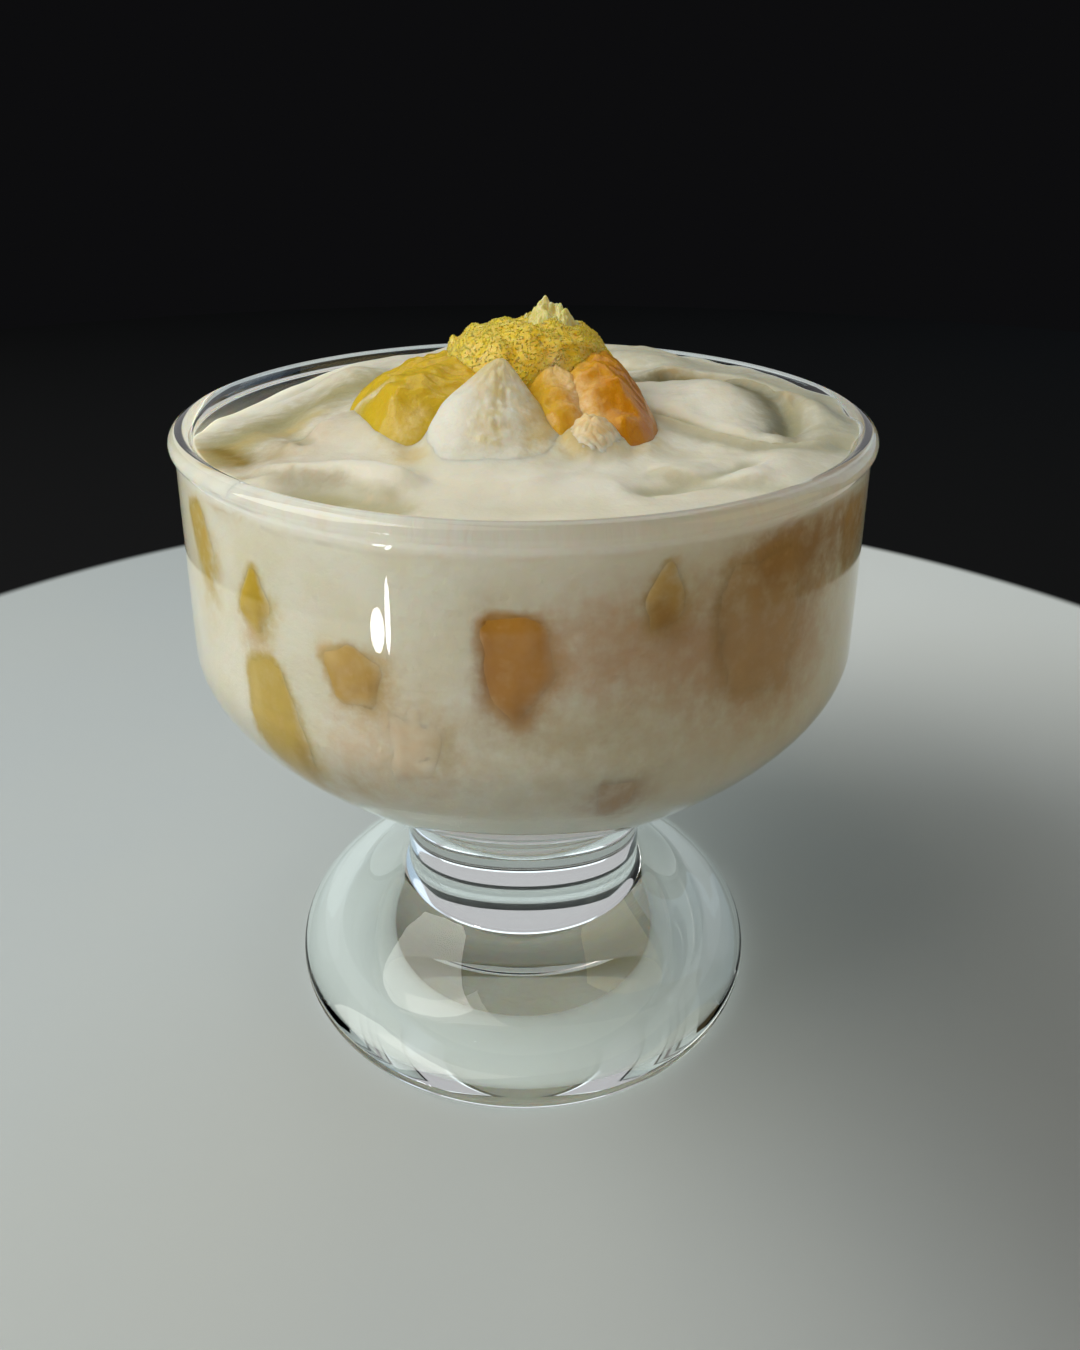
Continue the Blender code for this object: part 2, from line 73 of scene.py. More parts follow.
MERGED = 1e-6  # points nearer than this, in metres, are made one

# ---- sizes of the mousse
POKE = 0.12  # how far the mousse reaches into the glass's inner face
FILL_DROP = 0.6
CROWN = 1.4
DIP_DEPTH = 3.4
DIP_AZIMUTH = -106.0
DIP_SPREAD = 32.0
DIP_RADII = (32.0, 44.0)
RIPPLE_HEIGHT = 0.5
RIPPLE_LENGTH = 8.0
MOUSSE_SEGMENTS = 360
TOP_ROWS = 110
WALL_ROWS = 34
BELLY_ROWS = 72

# Humps: centre x, y, half lengths, turn in degrees, height
HUMPS = (
    (-19.0, -20.0, 12.0, 8.0, -20.0, 2.8),  # left, in front of the yellow fruit
    (-21.0, -39.0, 8.0, 3.6, -25.0, -2.2),  # hollow between it and the glass
    (28.0, 1.0, 8.5, 10.0, 10.0, 3.2),  # right, inside the curl
    (42.0, -9.0, 4.0, 8.5, 12.0, 2.0),  # along the glass beyond the curl
    (32.0, -29.5, 9.0, 4.8, 38.0, 2.0),  # right front
    (2.0, -37.0, 16.0, 4.5, 0.0, 0.9),  # front
    (-8.0, 31.0, 13.0, 8.0, 15.0, 2.4),  # rear
    (20.0, 32.0, 9.0, 6.0, -35.0, 1.8),  # right rear
    (-29.0, 17.0, 6.0, 8.0, 25.0, 1.8),  # left rear
)
# Sweeps of the spoon: centre x, y, radius, from, to in degrees from +X, half width, height or depth
SWEEPS = (
    (28.0, 4.5, 11.8, -15.0, 125.0, 2.1, -2.6),  # curl behind the right hump
    (24.0, -4.0, 14.6, -48.0, 5.0, 2.1, -1.8),  # its return on the right
    (48.0, 12.0, 35.0, 210.0, 248.0, 1.7, -1.7),  # crease in front of the right hump
    (40.0, -40.0, 21.5, 68.0, 104.0, 1.7, -1.4),  # crease between the two right lobes
    (4.0, -8.0, 31.0, -75.0, -38.0, 2.0, -1.1),  # hollow at the right front
    (-17.0, -18.0, 11.5, 110.0, 212.0, 1.7, -1.6),  # crease at the left hump's side
    (-24.0, -53.0, 19.5, 52.0, 112.0, 1.8, 1.2),  # lip above the left hollow
    (-5.0, 0.0, 29.5, 148.0, 216.0, 3.0, -1.5),  # valley at the left
    (4.0, 2.0, 27.0, 55.0, 150.0, 2.2, -2.0),  # groove behind the heap
    (4.0, 6.0, 34.5, 48.0, 122.0, 2.2, 1.3),  # ridge behind that groove
)

# Folds where one spoonful lies over the next: points of the lip in plan, height, half width of the gentle
# side. The steep side is on the right of the way along.
FOLDS = (
    (((-34, -31), (-26, -33.2), (-20, -34.6), (-13.5, -40.5)), 1.3, 5.0),  # above the left hollow
    (((-23, -8), (-27, -14), (-28.6, -20), (-29.4, -27)), 0.9, 4.0),  # left hump's ridge
    (((16, -9), (22, -15), (29, -20.6), (37, -21.4), (44, -19.5)), 1.2, 4.5),  # front of the right hump
    (((14, -31), (21, -34.2), (30, -35.6)), 0.8, 4.0),  # right front
    (((17, 17.5), (24, 18.5), (31, 15.5), (36, 8.5), (38.4, -1), (38, -12)), 1.5, 5.0),  # beyond the valley
)
FOLD_STEEP = 0.8
FINE_RELIEF = ((0.22, 3.4), (0.08, 1.5))  # height and length of the finest bumps
HUMP_FADE = (4.0, 12.0)  # humps are gone this far beyond the glass's inner face, and fade over this width
SWEEP_FADE = 0.45  # share of its half length over which a sweep dies out at its ends
FOLD_FADE = 5.0  # a fold rises over one part in this many of its length, and dies out as fast
RELIEF_FADE = 3.0  # folds and fine relief die out this near to the glass
LAP = (0.55, 1.3)  # how high and how far the mousse creeps up the fruit on it
FILLET = 2.6  # how softly the mousse runs into the cream on it
FILLET_SINK = 0.25  # and how far it then goes under the cream
HOLLOWS = ((2.5, 0.55, 0.6), (6.0, 1.8, 0.5))  # painted shade in hollows: reach, depth, strength
STAIN = (0.3, 0.9)  # juice round the fruit on the mousse: strength and width

# ---- colours, linear
CREAM = (0.80, 0.755, 0.62)
CREAM_LIGHT = (0.84, 0.81, 0.71)
CREAM_SHADE = (0.46, 0.43, 0.26)  # painted shade low in the folds, with some thin, fruity mousse
YELLOW = (0.57, 0.375, 0.01)
AMBER = (0.56, 0.315, 0.02)
ORANGE = (0.55, 0.235, 0.006)
PEACH = (0.78, 0.58, 0.37)
BROWN = (0.40, 0.20, 0.05)
RUSSET = (0.50, 0.27, 0.06)
HAZE = (0.66, 0.43, 0.26)  # mousse that the fruit behind it shows through
SHADE = (0.19, 0.17, 0.075)  # painted shade in the deep fold at the right, with some olive fruit stain
# Painted shade in the creases of the top, darker and paler
PAINTED_CREASE_SHADE = (0.46, 0.43, 0.29)
PAINTED_CREASE_SHADE_PALE = (0.57, 0.54, 0.40)
# olive: fruit stain and painted shade in the valley, hollow and ridge at the left
OLIVE = (0.43, 0.385, 0.19)
# painted shade on the top's far right and rear, where less light falls
PAINTED_FAR_SHADE = (0.50, 0.49, 0.37)
JUICE = (0.66, 0.52, 0.20)
# painted light on the dollop's lit left side
DOLLOP_PAINTED_LIGHT = (0.90, 0.88, 0.80)
DOLLOP_JUICE = (0.66, 0.49, 0.19)
DOLLOP_TIP = (0.70, 0.57, 0.24)
BITS_PALE = (0.84, 0.72, 0.42)
BITS_DEEP = (0.74, 0.61, 0.27)
FLECK_JUICE = (0.80, 0.55, 0.22)
FLESH_TONES = (  # the heap's fruit from its left to its right
    (0.0, (0.70, 0.49, 0.025)), (0.2, (0.72, 0.48, 0.025)), (0.35, (0.78, 0.50, 0.03)),
    (0.55, (0.70, 0.40, 0.02)), (0.76, (0.68, 0.28, 0.003)), (0.95, (0.58, 0.19, 0.001)),
)
PULP_TONES = (
    (0.0, (1.0, 0.72, 0.17)), (0.4, (1.0, 0.65, 0.05)), (0.75, (1.0, 0.56, 0.02)), (1.0, (0.98, 0.48, 0.01)),
)
CRUMB_TONES = ((0.0, (0.72, 0.66, 0.20)), (0.6, (0.76, 0.70, 0.26)))
# name: its tones, the colour of its fibres and how much they show, how soft it is, how long its fibres are
# and how high they stand
FRUIT_LOOKS = {
    "fruit_flesh": (FLESH_TONES, (0.90, 0.66, 0.16), 0.15, 0.4, 1.3, 0.3),
    "fruit_pulp": (PULP_TONES, (1.0, 0.84, 0.34), 0.5, 0.8, 0.7, 0.1),
    "fruit_crumb": (CRUMB_TONES, (0.88, 0.86, 0.60), 0.7, 0.6, 1.0, 0.2),
}
TONE_SPREAD = (25.0, 0.5)  # tones per metre along X, and the one in the middle
SOFT = dict(Subsurface_Radius=(1.0, 0.65, 0.35), Specular_IOR_Level=0.4)
CREAMY = dict(SOFT, Subsurface_Weight=0.6, Subsurface_Scale=0.003)
RAGGED = 6.0  # how unevenly a tint ends
WALL_MOTTLE = (2.4, 0.25)  # the mousse's mottles: length, and how much peach shows in its tints
CREAM_MOTTLE = 9.0
DOLLOP_MOTTLE = 1.2
FLESH_MOTTLE = 0.9
GLASS_TINT = (0.955, 0.975, 0.965)
FLOOR_PALE = (0.60, 0.65, 0.68)
FLOOR_SHADED = (0.27, 0.28, 0.29)  # painted shadow, near at the right
FLOOR_LIT = (0.94, 0.97, 0.98)  # painted light, far at the right
FLOOR_DARK = (0.013, 0.013, 0.014)

# Lighter bits and painted highlights on the heap's fruit: points in plan, half width, colour, strength
HEAP_BITS_AND_HIGHLIGHTS = (
    # lighter peach bits between the strip and the right lobe, partly painted highlight
    (((4.5, -12), (7, -17), (9, -23), (10, -27)), 1.8, (0.92, 0.66, 0.34), 0.6),
    # painted highlight on the left lobe
    (((-21.5, -13), (-18.5, -17)), 1.4, (1.0, 0.90, 0.60), 0.8),
    (((-13, -24), (-15.5, -28)), 1.2, (0.88, 0.70, 0.30), 0.5),
)
# Painted shade and juice on the mousse's top: points in plan, half width, colour, strength
STREAKS = (
    # painted shade in the creases in front of the humps and above the left hollow
    (((17, -10.5), (22.5, -16.4), (29, -21.8), (37, -22.6), (43, -20.5)), 1.6, PAINTED_CREASE_SHADE, 0.95),
    (((15, -32.4), (21, -35.6), (29, -37.0)), 1.3, PAINTED_CREASE_SHADE_PALE, 0.9),
    (((-33, -32.8), (-26, -34.6), (-20.5, -36), (-14.5, -41.5)), 1.1, PAINTED_CREASE_SHADE_PALE, 0.9),
    # olive fruit stain and painted shade in the left hollow, along the left hump's ridge and in the left
    # valley
    (((-23, -38.4), (-18, -40.6), (-13.5, -43)), 2.4, OLIVE, 0.6),
    (((-24.3, -9), (-28.2, -15), (-29.8, -21), (-30.4, -27)), 1.2, OLIVE, 0.8),
    (((-39, -25), (-38.5, -15), (-36.5, -6), (-31, 4), (-22, 13)), 6.5, OLIVE, 0.95),
    (((-31, -28), (-27, -20)), 5.0, (0.66, 0.53, 0.37), 0.45),
    (((-38, -22), (-35.5, -16), (-30, -5)), 2.2, JUICE, 0.6),
    (((-39.5, -20), (-36.5, -23.6), (-34.5, -26.5)), 1.9, (0.30, 0.21, 0.04), 1.0),
    # painted shade on the far right and rear of the top, where less light falls
    (((43, 6), (45, -8), (42, -19)), 9.0, PAINTED_FAR_SHADE, 0.9),
    (((8, 38), (22, 32), (34, 24), (43, 8)), 9.0, PAINTED_FAR_SHADE, 0.75),
    # painted shade in the deep fold behind the right hump
    (((15, 15), (22.5, 16.8), (29, 14.5), (33.2, 8), (35.4, 0), (35.6, -8), (34.8, -15)), 2.7, SHADE, 0.95),
    (((15, 9), (18.5, 11.5), (22, 13.5)), 2.0, PEACH, 0.5),
)

# ---- fruit against the glass
# name: corners as (azimuth, height) on the bowl's inner face, depth, colour of its flesh, and how much of it
# the mousse films over
WALL_FRUIT = {
    "far_left": (((-61, 87), (-55, 89), (-50.5, 82), (-53, 75), (-58, 80)), 7.0, YELLOW, 0.25),
    "left_rim": (((-53, 91.4), (-44, 91.8), (-43.5, 88.5), (-52, 88.0)), 5.0, AMBER, 0.8),
    "left_small": (((-41, 84.5), (-37, 78.5), (-40.5, 74), (-46, 77)), 6.0, YELLOW, 0.05),
    "left_long": (
        ((-44.5, 71.5), (-37, 73), (-32.5, 64.5), (-29.5, 54), (-36.5, 53), (-44.5, 62)), 8.0, YELLOW, 0.08,
    ),
    "left_blob": (((-29.5, 75.5), (-23.5, 77.5), (-18.5, 75), (-20, 69), (-26.5, 69)), 8.0, AMBER, 0.1),
    "pale": (((-19.5, 69.3), (-14, 72), (-9.5, 68), (-12, 59.5), (-20, 60.5)), 6.0, PEACH, 0.75),
    "front": (((-6.2, 82.8), (3.2, 83.0), (5.0, 74.5), (-1, 68.8), (-5.2, 72.5)), 9.0, ORANGE, 0.05),
    "front_low": (((9.5, 61.5), (16.5, 61), (14.5, 55), (11, 56)), 6.0, BROWN, 0.5),
    "right_small": (((19.4, 89), (22, 84), (21.5, 80.5), (16.5, 79), (15.5, 84)), 7.0, AMBER, 0.3),
    "right_large": (((27, 87), (41.5, 87.5), (44, 77), (42, 66.5), (29, 68.5), (25.5, 78)), 9.0, RUSSET, 0.5),
    "far_right": (((53, 88), (66, 88.5), (67, 80), (56, 78)), 8.0, RUSSET, 0.35),
    "rear_1": (((84, 82), (93, 84), (97, 75), (88, 71)), 8.0, YELLOW, 0.2),
    "rear_2": (((109, 70), (118, 72), (121, 60), (112, 58)), 8.0, AMBER, 0.3),
    "rear_3": (((132, 87), (143, 86), (145, 78), (137, 74)), 9.0, ORANGE, 0.15),
    "rear_4": (((160, 75), (170, 77), (173, 68), (163, 64)), 8.0, YELLOW, 0.2),
    "rear_5": (((188, 84), (199, 85), (201, 77), (192, 73)), 8.0, AMBER, 0.15),
    "rear_6": (((214, 68), (223, 72), (226, 61), (217, 57)), 8.0, PEACH, 0.4),
    "rear_7": (((240, 80), (249, 81), (251, 73), (243, 70)), 8.0, YELLOW, 0.2),
}
# Haze beside the fruit: azimuth, height, half width and half height in millimetres, colour, strength
WALL_HAZE = (
    (-42, 73.5, 2.6, 3.0, HAZE, 0.45),
    (-24, 64, 4.5, 5.5, (0.72, 0.54, 0.36), 0.5),
    (-16, 66, 6.0, 6.0, (0.74, 0.56, 0.38), 0.6),
    (-10.5, 65.5, 1.8, 3.4, (0.46, 0.33, 0.14), 0.55),
    (-24, 58.5, 3.0, 2.2, (0.56, 0.42, 0.18), 0.5),
    (9, 78, 7.0, 6.0, HAZE, 0.5),
    (15, 78, 6.0, 6.5, HAZE, 0.6),
    (23, 77, 5.0, 7.0, HAZE, 0.6),
    (20.5, 79, 3.0, 1.6, BROWN, 0.5),
    (33, 74, 8.0, 9.0, HAZE, 0.75),
    (43, 72, 7.0, 9.0, HAZE, 0.6),
    (27.5, 77, 1.4, 5.0, (0.36, 0.24, 0.12), 0.5),
    (37, 86.5, 5.0, 3.6, BROWN, 0.8),
    (44, 85, 5.0, 6.0, BROWN, 0.75),
    (53, 86, 7.0, 6.0, BROWN, 0.6),
    (13, 58.5, 4.5, 1.8, (0.50, 0.32, 0.18), 0.6),
    (4, 66, 14.0, 6.0, (0.56, 0.46, 0.27), 0.35),
    (-56, 78, 3.0, 8.0, JUICE, 0.3),
    (180, 48, 60.0, 10.0, (0.46, 0.39, 0.13), 0.85),
)
# Darker and paler places on the fruit itself, given in the same way
WALL_MARKS = (
    (-5.0, 76.5, 1.3, 6.0, (0.34, 0.13, 0.0), 0.65),
    (-0.5, 70.5, 2.2, 2.0, (0.38, 0.16, 0.0), 0.6),
    (-21.5, 72.5, 2.2, 2.6, (0.46, 0.25, 0.005), 0.7),
    (-27.5, 75.5, 1.6, 1.6, (0.74, 0.52, 0.22), 0.6),
    (-42.5, 66, 1.0, 5.0, (0.66, 0.50, 0.16), 0.6),
    (-33.5, 59, 1.2, 5.0, (0.44, 0.26, 0.0), 0.6),
    (-40, 77.5, 1.0, 3.0, (0.44, 0.27, 0.0), 0.6),
    (18.5, 81.5, 1.6, 2.0, BROWN, 0.6),
    (36, 84, 3.0, 2.5, BROWN, 0.6),
    (32, 72, 3.0, 3.5, (0.60, 0.38, 0.16), 0.5),
)
# Painted light on the mousse behind the rim bead, as a paler band: colour, the height where it begins, over
# what height it sets in, strength
RIM_PAINTED_LIGHT = ((0.93, 0.92, 0.88), 88.6, 1.5, 0.8)
FADE_WAY = (0.9, -0.4)  # the way in which the fruit fades into the mousse: round the wall, up it
FADE = (0.7, 3.2)  # half width of its edge on the crisp and on the faded side
WALL_FRUIT_ROUNDING = 0.13
FRUIT_ROUND = 112  # points round a piece
FRUIT_FACE_ROWS = 16
FRUIT_SIDE_ROWS = 8
FRUIT_TAPER = 0.22
FRUIT_PROUD = 0.22  # how far its face swells past the mousse's surface
FRUIT_SUNK = 0.12  # and how far its edge lies under it
FRUIT_RAGGED = (0.09, 2.2)  # its outline's bumps: height as a share of its size, length
FRUIT_ROUGH = ((0.10, 1.8), (0.06, 5.0))  # height and length of the bumps on its face

# ---- the heap on top
# name: corners of its edge in plan, its highest point in plan, its height above the mousse, how full its
# sides are, how much more gently its front runs out than its back, the height and length of its bumps, and
# for the crumb how high its edge is lifted and how deep it hangs below that
HEAP = {
    "cream_dollop": dict(
        edge=(
            (-13.5, -17), (-13, -27), (-12, -36), (-4, -39), (5, -37),
            (9.5, -28), (6, -15), (0, -8), (-9, -9),
        ),
        crest=(-2.6, -14.5), height=8.8, fullness=(1.3, 0.9), skirt=0.55, relief=(0.4, 5.0),
    ),
    "cream_fleck": dict(
        edge=((4.5, -29), (11, -30.5), (14, -25), (12, -18), (7.5, -16.5), (4.5, -21)),
        crest=(8.5, -23.5), height=4.8, fullness=(2.0, 0.8), skirt=0.3, relief=(0.3, 3.0),
    ),
    "fruit_strip": dict(
        edge=((-1, -6), (8, -6), (10.5, -15), (9, -28), (4, -29), (-1, -18)),
        crest=(4.0, -10.0), height=8.0, fullness=(2.0, 0.8), skirt=0.2, relief=(0.5, 3.0),
    ),
    "fruit_left": dict(
        edge=((-25, -1), (-25, -8), (-20, -21), (-13, -34), (-6, -20), (-3, -6), (-10, 6), (-20, 4.5)),
        crest=(-9.5, -5.0), height=8.2, fullness=(2.2, 0.62), relief=(0.8, 4.5),
    ),
    "fruit_right": dict(
        edge=((5, -27), (14.5, -27), (18, -20), (18.2, -6), (15.5, 4), (8, 5), (3, -5), (3.5, -17)),
        crest=(10.0, -6.0), height=9.4, fullness=(1.7, 0.85), relief=(0.8, 4.5),
    ),
    "fruit_crumb": dict(
        edge=((-1, -1), (1, -4), (6, -4), (9, -1.5), (8, 2.5), (3, 4), (-0.5, 2)),
        crest=(3.4, -0.4), height=14.6, fullness=(1.3, 0.9), relief=(1.2, 1.7), lift=10.4, belly=3.6,
    ),
    "fruit_pulp": dict(
        edge=(
            (-13, 2), (-13.2, -6), (-7, -12), (0, -14), (9, -12.5),
            (13.8, -8), (15.6, 0), (12, 9.5), (2, 12), (-8, 9),
        ),
        crest=(0.5, -1.0), height=12.4, fullness=(3.6, 0.58), relief=(0.8, 2.8),
    ),
}
HEAP_ROUND = 200
HEAP_UP = 70
HEAP_UNDER = 8
HEAP_ROUNDING = 0.25
HEAP_SEAT = 0.6
HEAP_BELLY = 2.0
REACH_STEPS = 24  # directions in which a piece's edge is measured before it is smoothed
SKIRT_WAY = (0.7, -0.71)  # where a skirt runs out furthest, in plan
DOLLOP_EDGE = ((-4.5, -15.5), (-8.6, -19.5), (-11.6, -26.0), (-11.4, -35.0))  # sharp, down its left side
DOLLOP_LIP = (3.5, 0.7)  # half widths of that edge, inward and outward
BITS_LINE = ((-2.4, -16.5), (-3.4, -22.0), (-4.8, -30.0))  # bits of fruit down the dollop's front
BITS_WIDTH = 2.2
DOLLOP_CLEAR = (0.7, 2.4)  # its colours begin this far above the mousse, and are full this much higher
FLECK_CLEAR = (0.6, 3.5)
DOLLOP_TIP_Z = 100.0
SHRED = ((-10.4, -0.5), 0.8, 2.0)  # at the pulp's left end: place, half width, height
GRAINS = dict(density=6.0, size=0.13, stretch=1.2, seed=3)  # on the pulp, density to a square millimetre
GRAIN_SIZES = (0.55, 1.25)

# ---- floor, light and camera
FLOOR_Z = -0.3
FLOOR_RADIUS = 0.7  # in metres, as all that follows
PALE_FLOOR = (0.204, 0.209)  # the pale floor goes over to dark between these distances
FLOOR_RIGHT = (0.0, 0.09)  # and to its right-hand painted shadow and light between these places along X
FLOOR_DEPTH = (-0.06, 0.13)  # which go from painted shadow to painted light between these along Y
FLOOR_MOTTLE = (60.0, 0.06)  # length in millimetres and strength
WORLD = (0.004, 0.004, 0.0045)
AIM = (0, 0, 0.05)  # all lights face this point
SPOT = dict(diffuse=False, shape="ELLIPSE")  # a small round light that shows only in what is shiny
# name: azimuth, elevation, distance, size, power, colour, and what else isn't as usual
LIGHTS = {
    "window": (-75, 40, 0.8, (0.6, 0.6), 4.0, (1.0, 1.0, 0.92), {}),
    "near": (-60, 65, 0.35, (0.25, 0.25), 0.34, (1.0, 0.93, 0.85), {}),
    "back_wall": (180, 38, 0.8, (1.2, 1.0), 2.0, (0.97, 0.97, 1.0), dict(diffuse=False)),
    "back": (180, 55, 0.8, (0.6, 0.5), 0.9, (0.8, 0.95, 1.0), {}),
    "warm_fill": (75, 25, 0.8, (0.6, 0.6), 0.88, (1.0, 0.82, 0.42), {}),
    "cool_fill": (125, 25, 0.8, (0.6, 0.6), 0.8, (0.6, 0.8, 1.0), {}),
    "front_fill": (15, 2, 0.8, (0.6, 0.5), 0.4, (1.0, 0.95, 0.85), dict(glossy=False)),
    "glint": (-38, -9.7, 0.16, (0.011, 0.011), 0.005, (1, 1, 1), SPOT),
    "glint_tip": (-35, -8.4, 0.16, (0.004, 0.018), 0.0035, (1, 1, 1), SPOT),
}
CAMERA_PLACE = (0.0, -0.1435, 0.1303)
CAMERA_TILT = 18.17  # degrees below level
CAMERA_LENS = 26.66
CAMERA_SHIFT = (0.0124, -0.152)


# ---- curves, noise and outlines
def bezier(p0, p1, p2, p3, steps):
    """Points along a cubic curve, both ends included."""
    t = np.linspace(0, 1, steps + 1)[:, None]
    p0, p1, p2, p3 = (np.array(p, float) for p in (p0, p1, p2, p3))
    return (1 - t) ** 3 * p0 + 3 * (1 - t) ** 2 * t * p1 + 3 * (1 - t) * t * t * p2 + t ** 3 * p3


def arc(centre, radii, start, end, steps):
    """Points along part of an ellipse, both ends included, angles in degrees."""
    a = np.radians(np.linspace(start, end, steps + 1))
    return np.stack([centre[0] + radii[0] * np.cos(a), centre[1] + radii[1] * np.sin(a)], 1)


def joined(*runs):
    """Runs of points as one, without the points that repeat."""
    points = np.concatenate([np.atleast_2d(run) for run in runs])
    far = np.linalg.norm(np.diff(points, axis=0), axis=1) > 1e-6
    return points[np.concatenate([[True], far])]


def circle(count):
    """Directions evenly round a circle."""
    a = np.arange(count) * math.tau / count
    return np.stack([np.cos(a), np.sin(a)], 1)


def stations(points):
    """How far along a run of points each of them is."""
    return np.concatenate([[0], np.cumsum(np.linalg.norm(np.diff(points, axis=0), axis=1))])


def noise_at(points, length):
    """Smooth noise from about -1 to 1 at each point."""
    return np.array([noise.noise(p) for p in (points / length).tolist()])


def bumps(plan, length, level=0.0):
    """Smooth noise at points in plan, taken at this level."""
    return noise_at(np.column_stack([plan, np.full(len(plan), level)]), length)


def ease(t):
    """From 0 to 1 with t, level at both ends."""
    t = np.clip(t, 0.0, 1.0)
    return t * t * (3 - 2 * t)


def bell(t):
    """1 where t is 0, and less to both sides."""
    return np.exp(-t * t)


def lip(left, gentle, steep):
    """Across a lip: it falls gently to its left and steeply to its right."""
    return bell(left / np.where(left > 0, gentle, steep))


def rounded(corners, share):
    """A closed outline with each corner cut off at this share of its sides."""
    here = np.array(corners, float)
    after = np.roll(here, -1, axis=0)
    cuts = np.stack([here + (after - here) * share, after + (here - after) * share], 1)
    return cuts.reshape(-1, 2)


def even_outline(points, count):
    """The closed outline as this many points spread evenly along it."""
    loop = np.vstack([points, points[:1]])
    along = stations(loop)
    at = np.arange(count) / count * along[-1]
    return np.stack([np.interp(at, along, loop[:, k]) for k in (0, 1)], 1)


def beside_line(points, line):
    """How far along a line each place is, as a share, and how far to its left, less than 0 on its right."""
    line = np.array(line, float)
    starts = stations(line)
    best = np.full(len(points), np.inf)
    along, left = np.zeros(len(points)), np.zeros(len(points))
    for a, b, start, end in zip(line, line[1:], starts, starts[1:]):
        length = end - start
        run, away = (b - a) / length, points - a
        t = np.clip(away @ run, 0, length)
        far = np.linalg.norm(away - t[:, None] * run, axis=1)
        side = np.sign(run[0] * away[:, 1] - run[1] * away[:, 0])
        nearer = far < best
        best[nearer], along[nearer], left[nearer] = far[nearer], (start + t)[nearer], (far * side)[nearer]
    return along / starts[-1], left


def outline_distance(points, outline):
    """How far each point is outside a closed outline, negative inside it."""
    away = abs(beside_line(points, np.vstack([outline, outline[:1]]))[1])
    inside = np.zeros(len(points), bool)
    for a, b in zip(outline, np.roll(outline, -1, axis=0)):
        crosses = (a[1] > points[:, 1]) != (b[1] > points[:, 1])
        if a[1] != b[1]:
            inside ^= crosses & (points[:, 0] < a[0] + (points[:, 1] - a[1]) * (b[0] - a[0]) / (b[1] - a[1]))
    return np.where(inside, -away, away)


# ---- meshes
def set_attribute(ob, name, kind, values):
    """Stores a value for each point of the mesh."""
    attribute = ob.data.attributes.new(name, kind, "POINT")
    key = "color" if kind == "FLOAT_COLOR" else "value"
    attribute.data.foreach_set(key, np.asarray(values, np.float32).ravel())


def points_of(ob):
    """The mesh's points in millimetres, and their normals."""
    count = len(ob.data.vertices)
    co, normal = np.empty(count * 3), np.empty(count * 3)
    ob.data.vertices.foreach_get("co", co)
    ob.data.vertices.foreach_get("normal", normal)
    return co.reshape(-1, 3) / MM, normal.reshape(-1, 3)


def put(name, data):
    """A new object in the scene."""
    ob = bpy.data.objects.new(name, data)
    bpy.context.scene.collection.objects.link(ob)
    return ob


def closed_body(name, rows, mat):
    """A closed mesh through rings of equally many points, closed by a point at each end."""
    count = len(rows[0])
    tips = [rows[0].mean(axis=0), rows[-1].mean(axis=0)]
    verts = np.vstack([*rows, *tips]) * MM
    i = np.arange(count)
    j = (i + 1) % count
    faces = []
    for k in range(len(rows) - 1):
        low, high = k * count, (k + 1) * count
        faces += np.stack([low + i, low + j, high + j, high + i], 1).tolist()
    last = (len(rows) - 1) * count
    first_tip, last_tip = len(rows) * count, len(rows) * count + 1
    faces += np.stack([j, i, np.full(count, first_tip)], 1).tolist()
    faces += np.stack([last + i, last + j, np.full(count, last_tip)], 1).tolist()
    mesh = bpy.data.meshes.new(name)
    mesh.from_pydata(verts.tolist(), [], faces)
    return finished(name, mesh, mat)


def finished(name, mesh, mat):
    """The mesh as an object with its faces outward, shaded smooth."""
    bm = bmesh.new()
    bm.from_mesh(mesh)
    bmesh.ops.recalc_face_normals(bm, faces=bm.faces[:])
    bm.to_mesh(mesh)
    bm.free()
    mesh.materials.clear()
    mesh.materials.append(mat)
    mesh.shade_smooth()
    return put(name, mesh)


# ---- node helpers
def add(tree, kind, inputs=(), **settings):
    """Adds a node. A socket given as an input is linked, anything else is its value."""
    node = tree.nodes.new(kind)
    for key, value in settings.items():
        setattr(node, key, value)
    for key, value in dict(inputs).items():
        if isinstance(value, bpy.types.NodeSocket):
            tree.links.new(value, node.inputs[key])
        else:
            node.inputs[key].default_value = value
    return node


def maths(tree, operation, *values):
    """A Math node's result."""
    return add(tree, "ShaderNodeMath", enumerate(values), operation=operation).outputs[0]


def new_material(name, colour, **inputs):
    """A material with one Principled shader. Returns it, its tree and the shader."""
    mat = bpy.data.materials.new(name)
    mat.use_nodes = True
    tree = mat.node_tree
    shader = tree.nodes["Principled BSDF"]
    shader.inputs["Base Color"].default_value = (*colour, 1.0)
    for key, value in inputs.items():
        shader.inputs[key.replace("_", " ")].default_value = value
    return mat, tree, shader


def object_place(tree):
    """The place in the object's own coordinates, in metres."""
    return add(tree, "ShaderNodeTexCoord").outputs["Object"]


def object_noise(tree, size, detail=3.0, roughness=0.5):
    """Noise in the object's own coordinates, with bumps about this many millimetres long."""
    settings = {"Scale": 1 / (size * MM), "Detail": detail, "Roughness": roughness}
    return add(tree, "ShaderNodeTexNoise", {"Vector": object_place(tree), **settings}).outputs["Fac"]


def ramp(tree, value, low, high, to=(0.0, 1.0)):
    """The value between low and high spread smoothly over the new range."""
    settings = {"Value": value, "From Min": low, "From Max": high, "To Min": to[0], "To Max": to[1]}
    return add(tree, "ShaderNodeMapRange", settings, interpolation_type="SMOOTHSTEP").outputs[0]


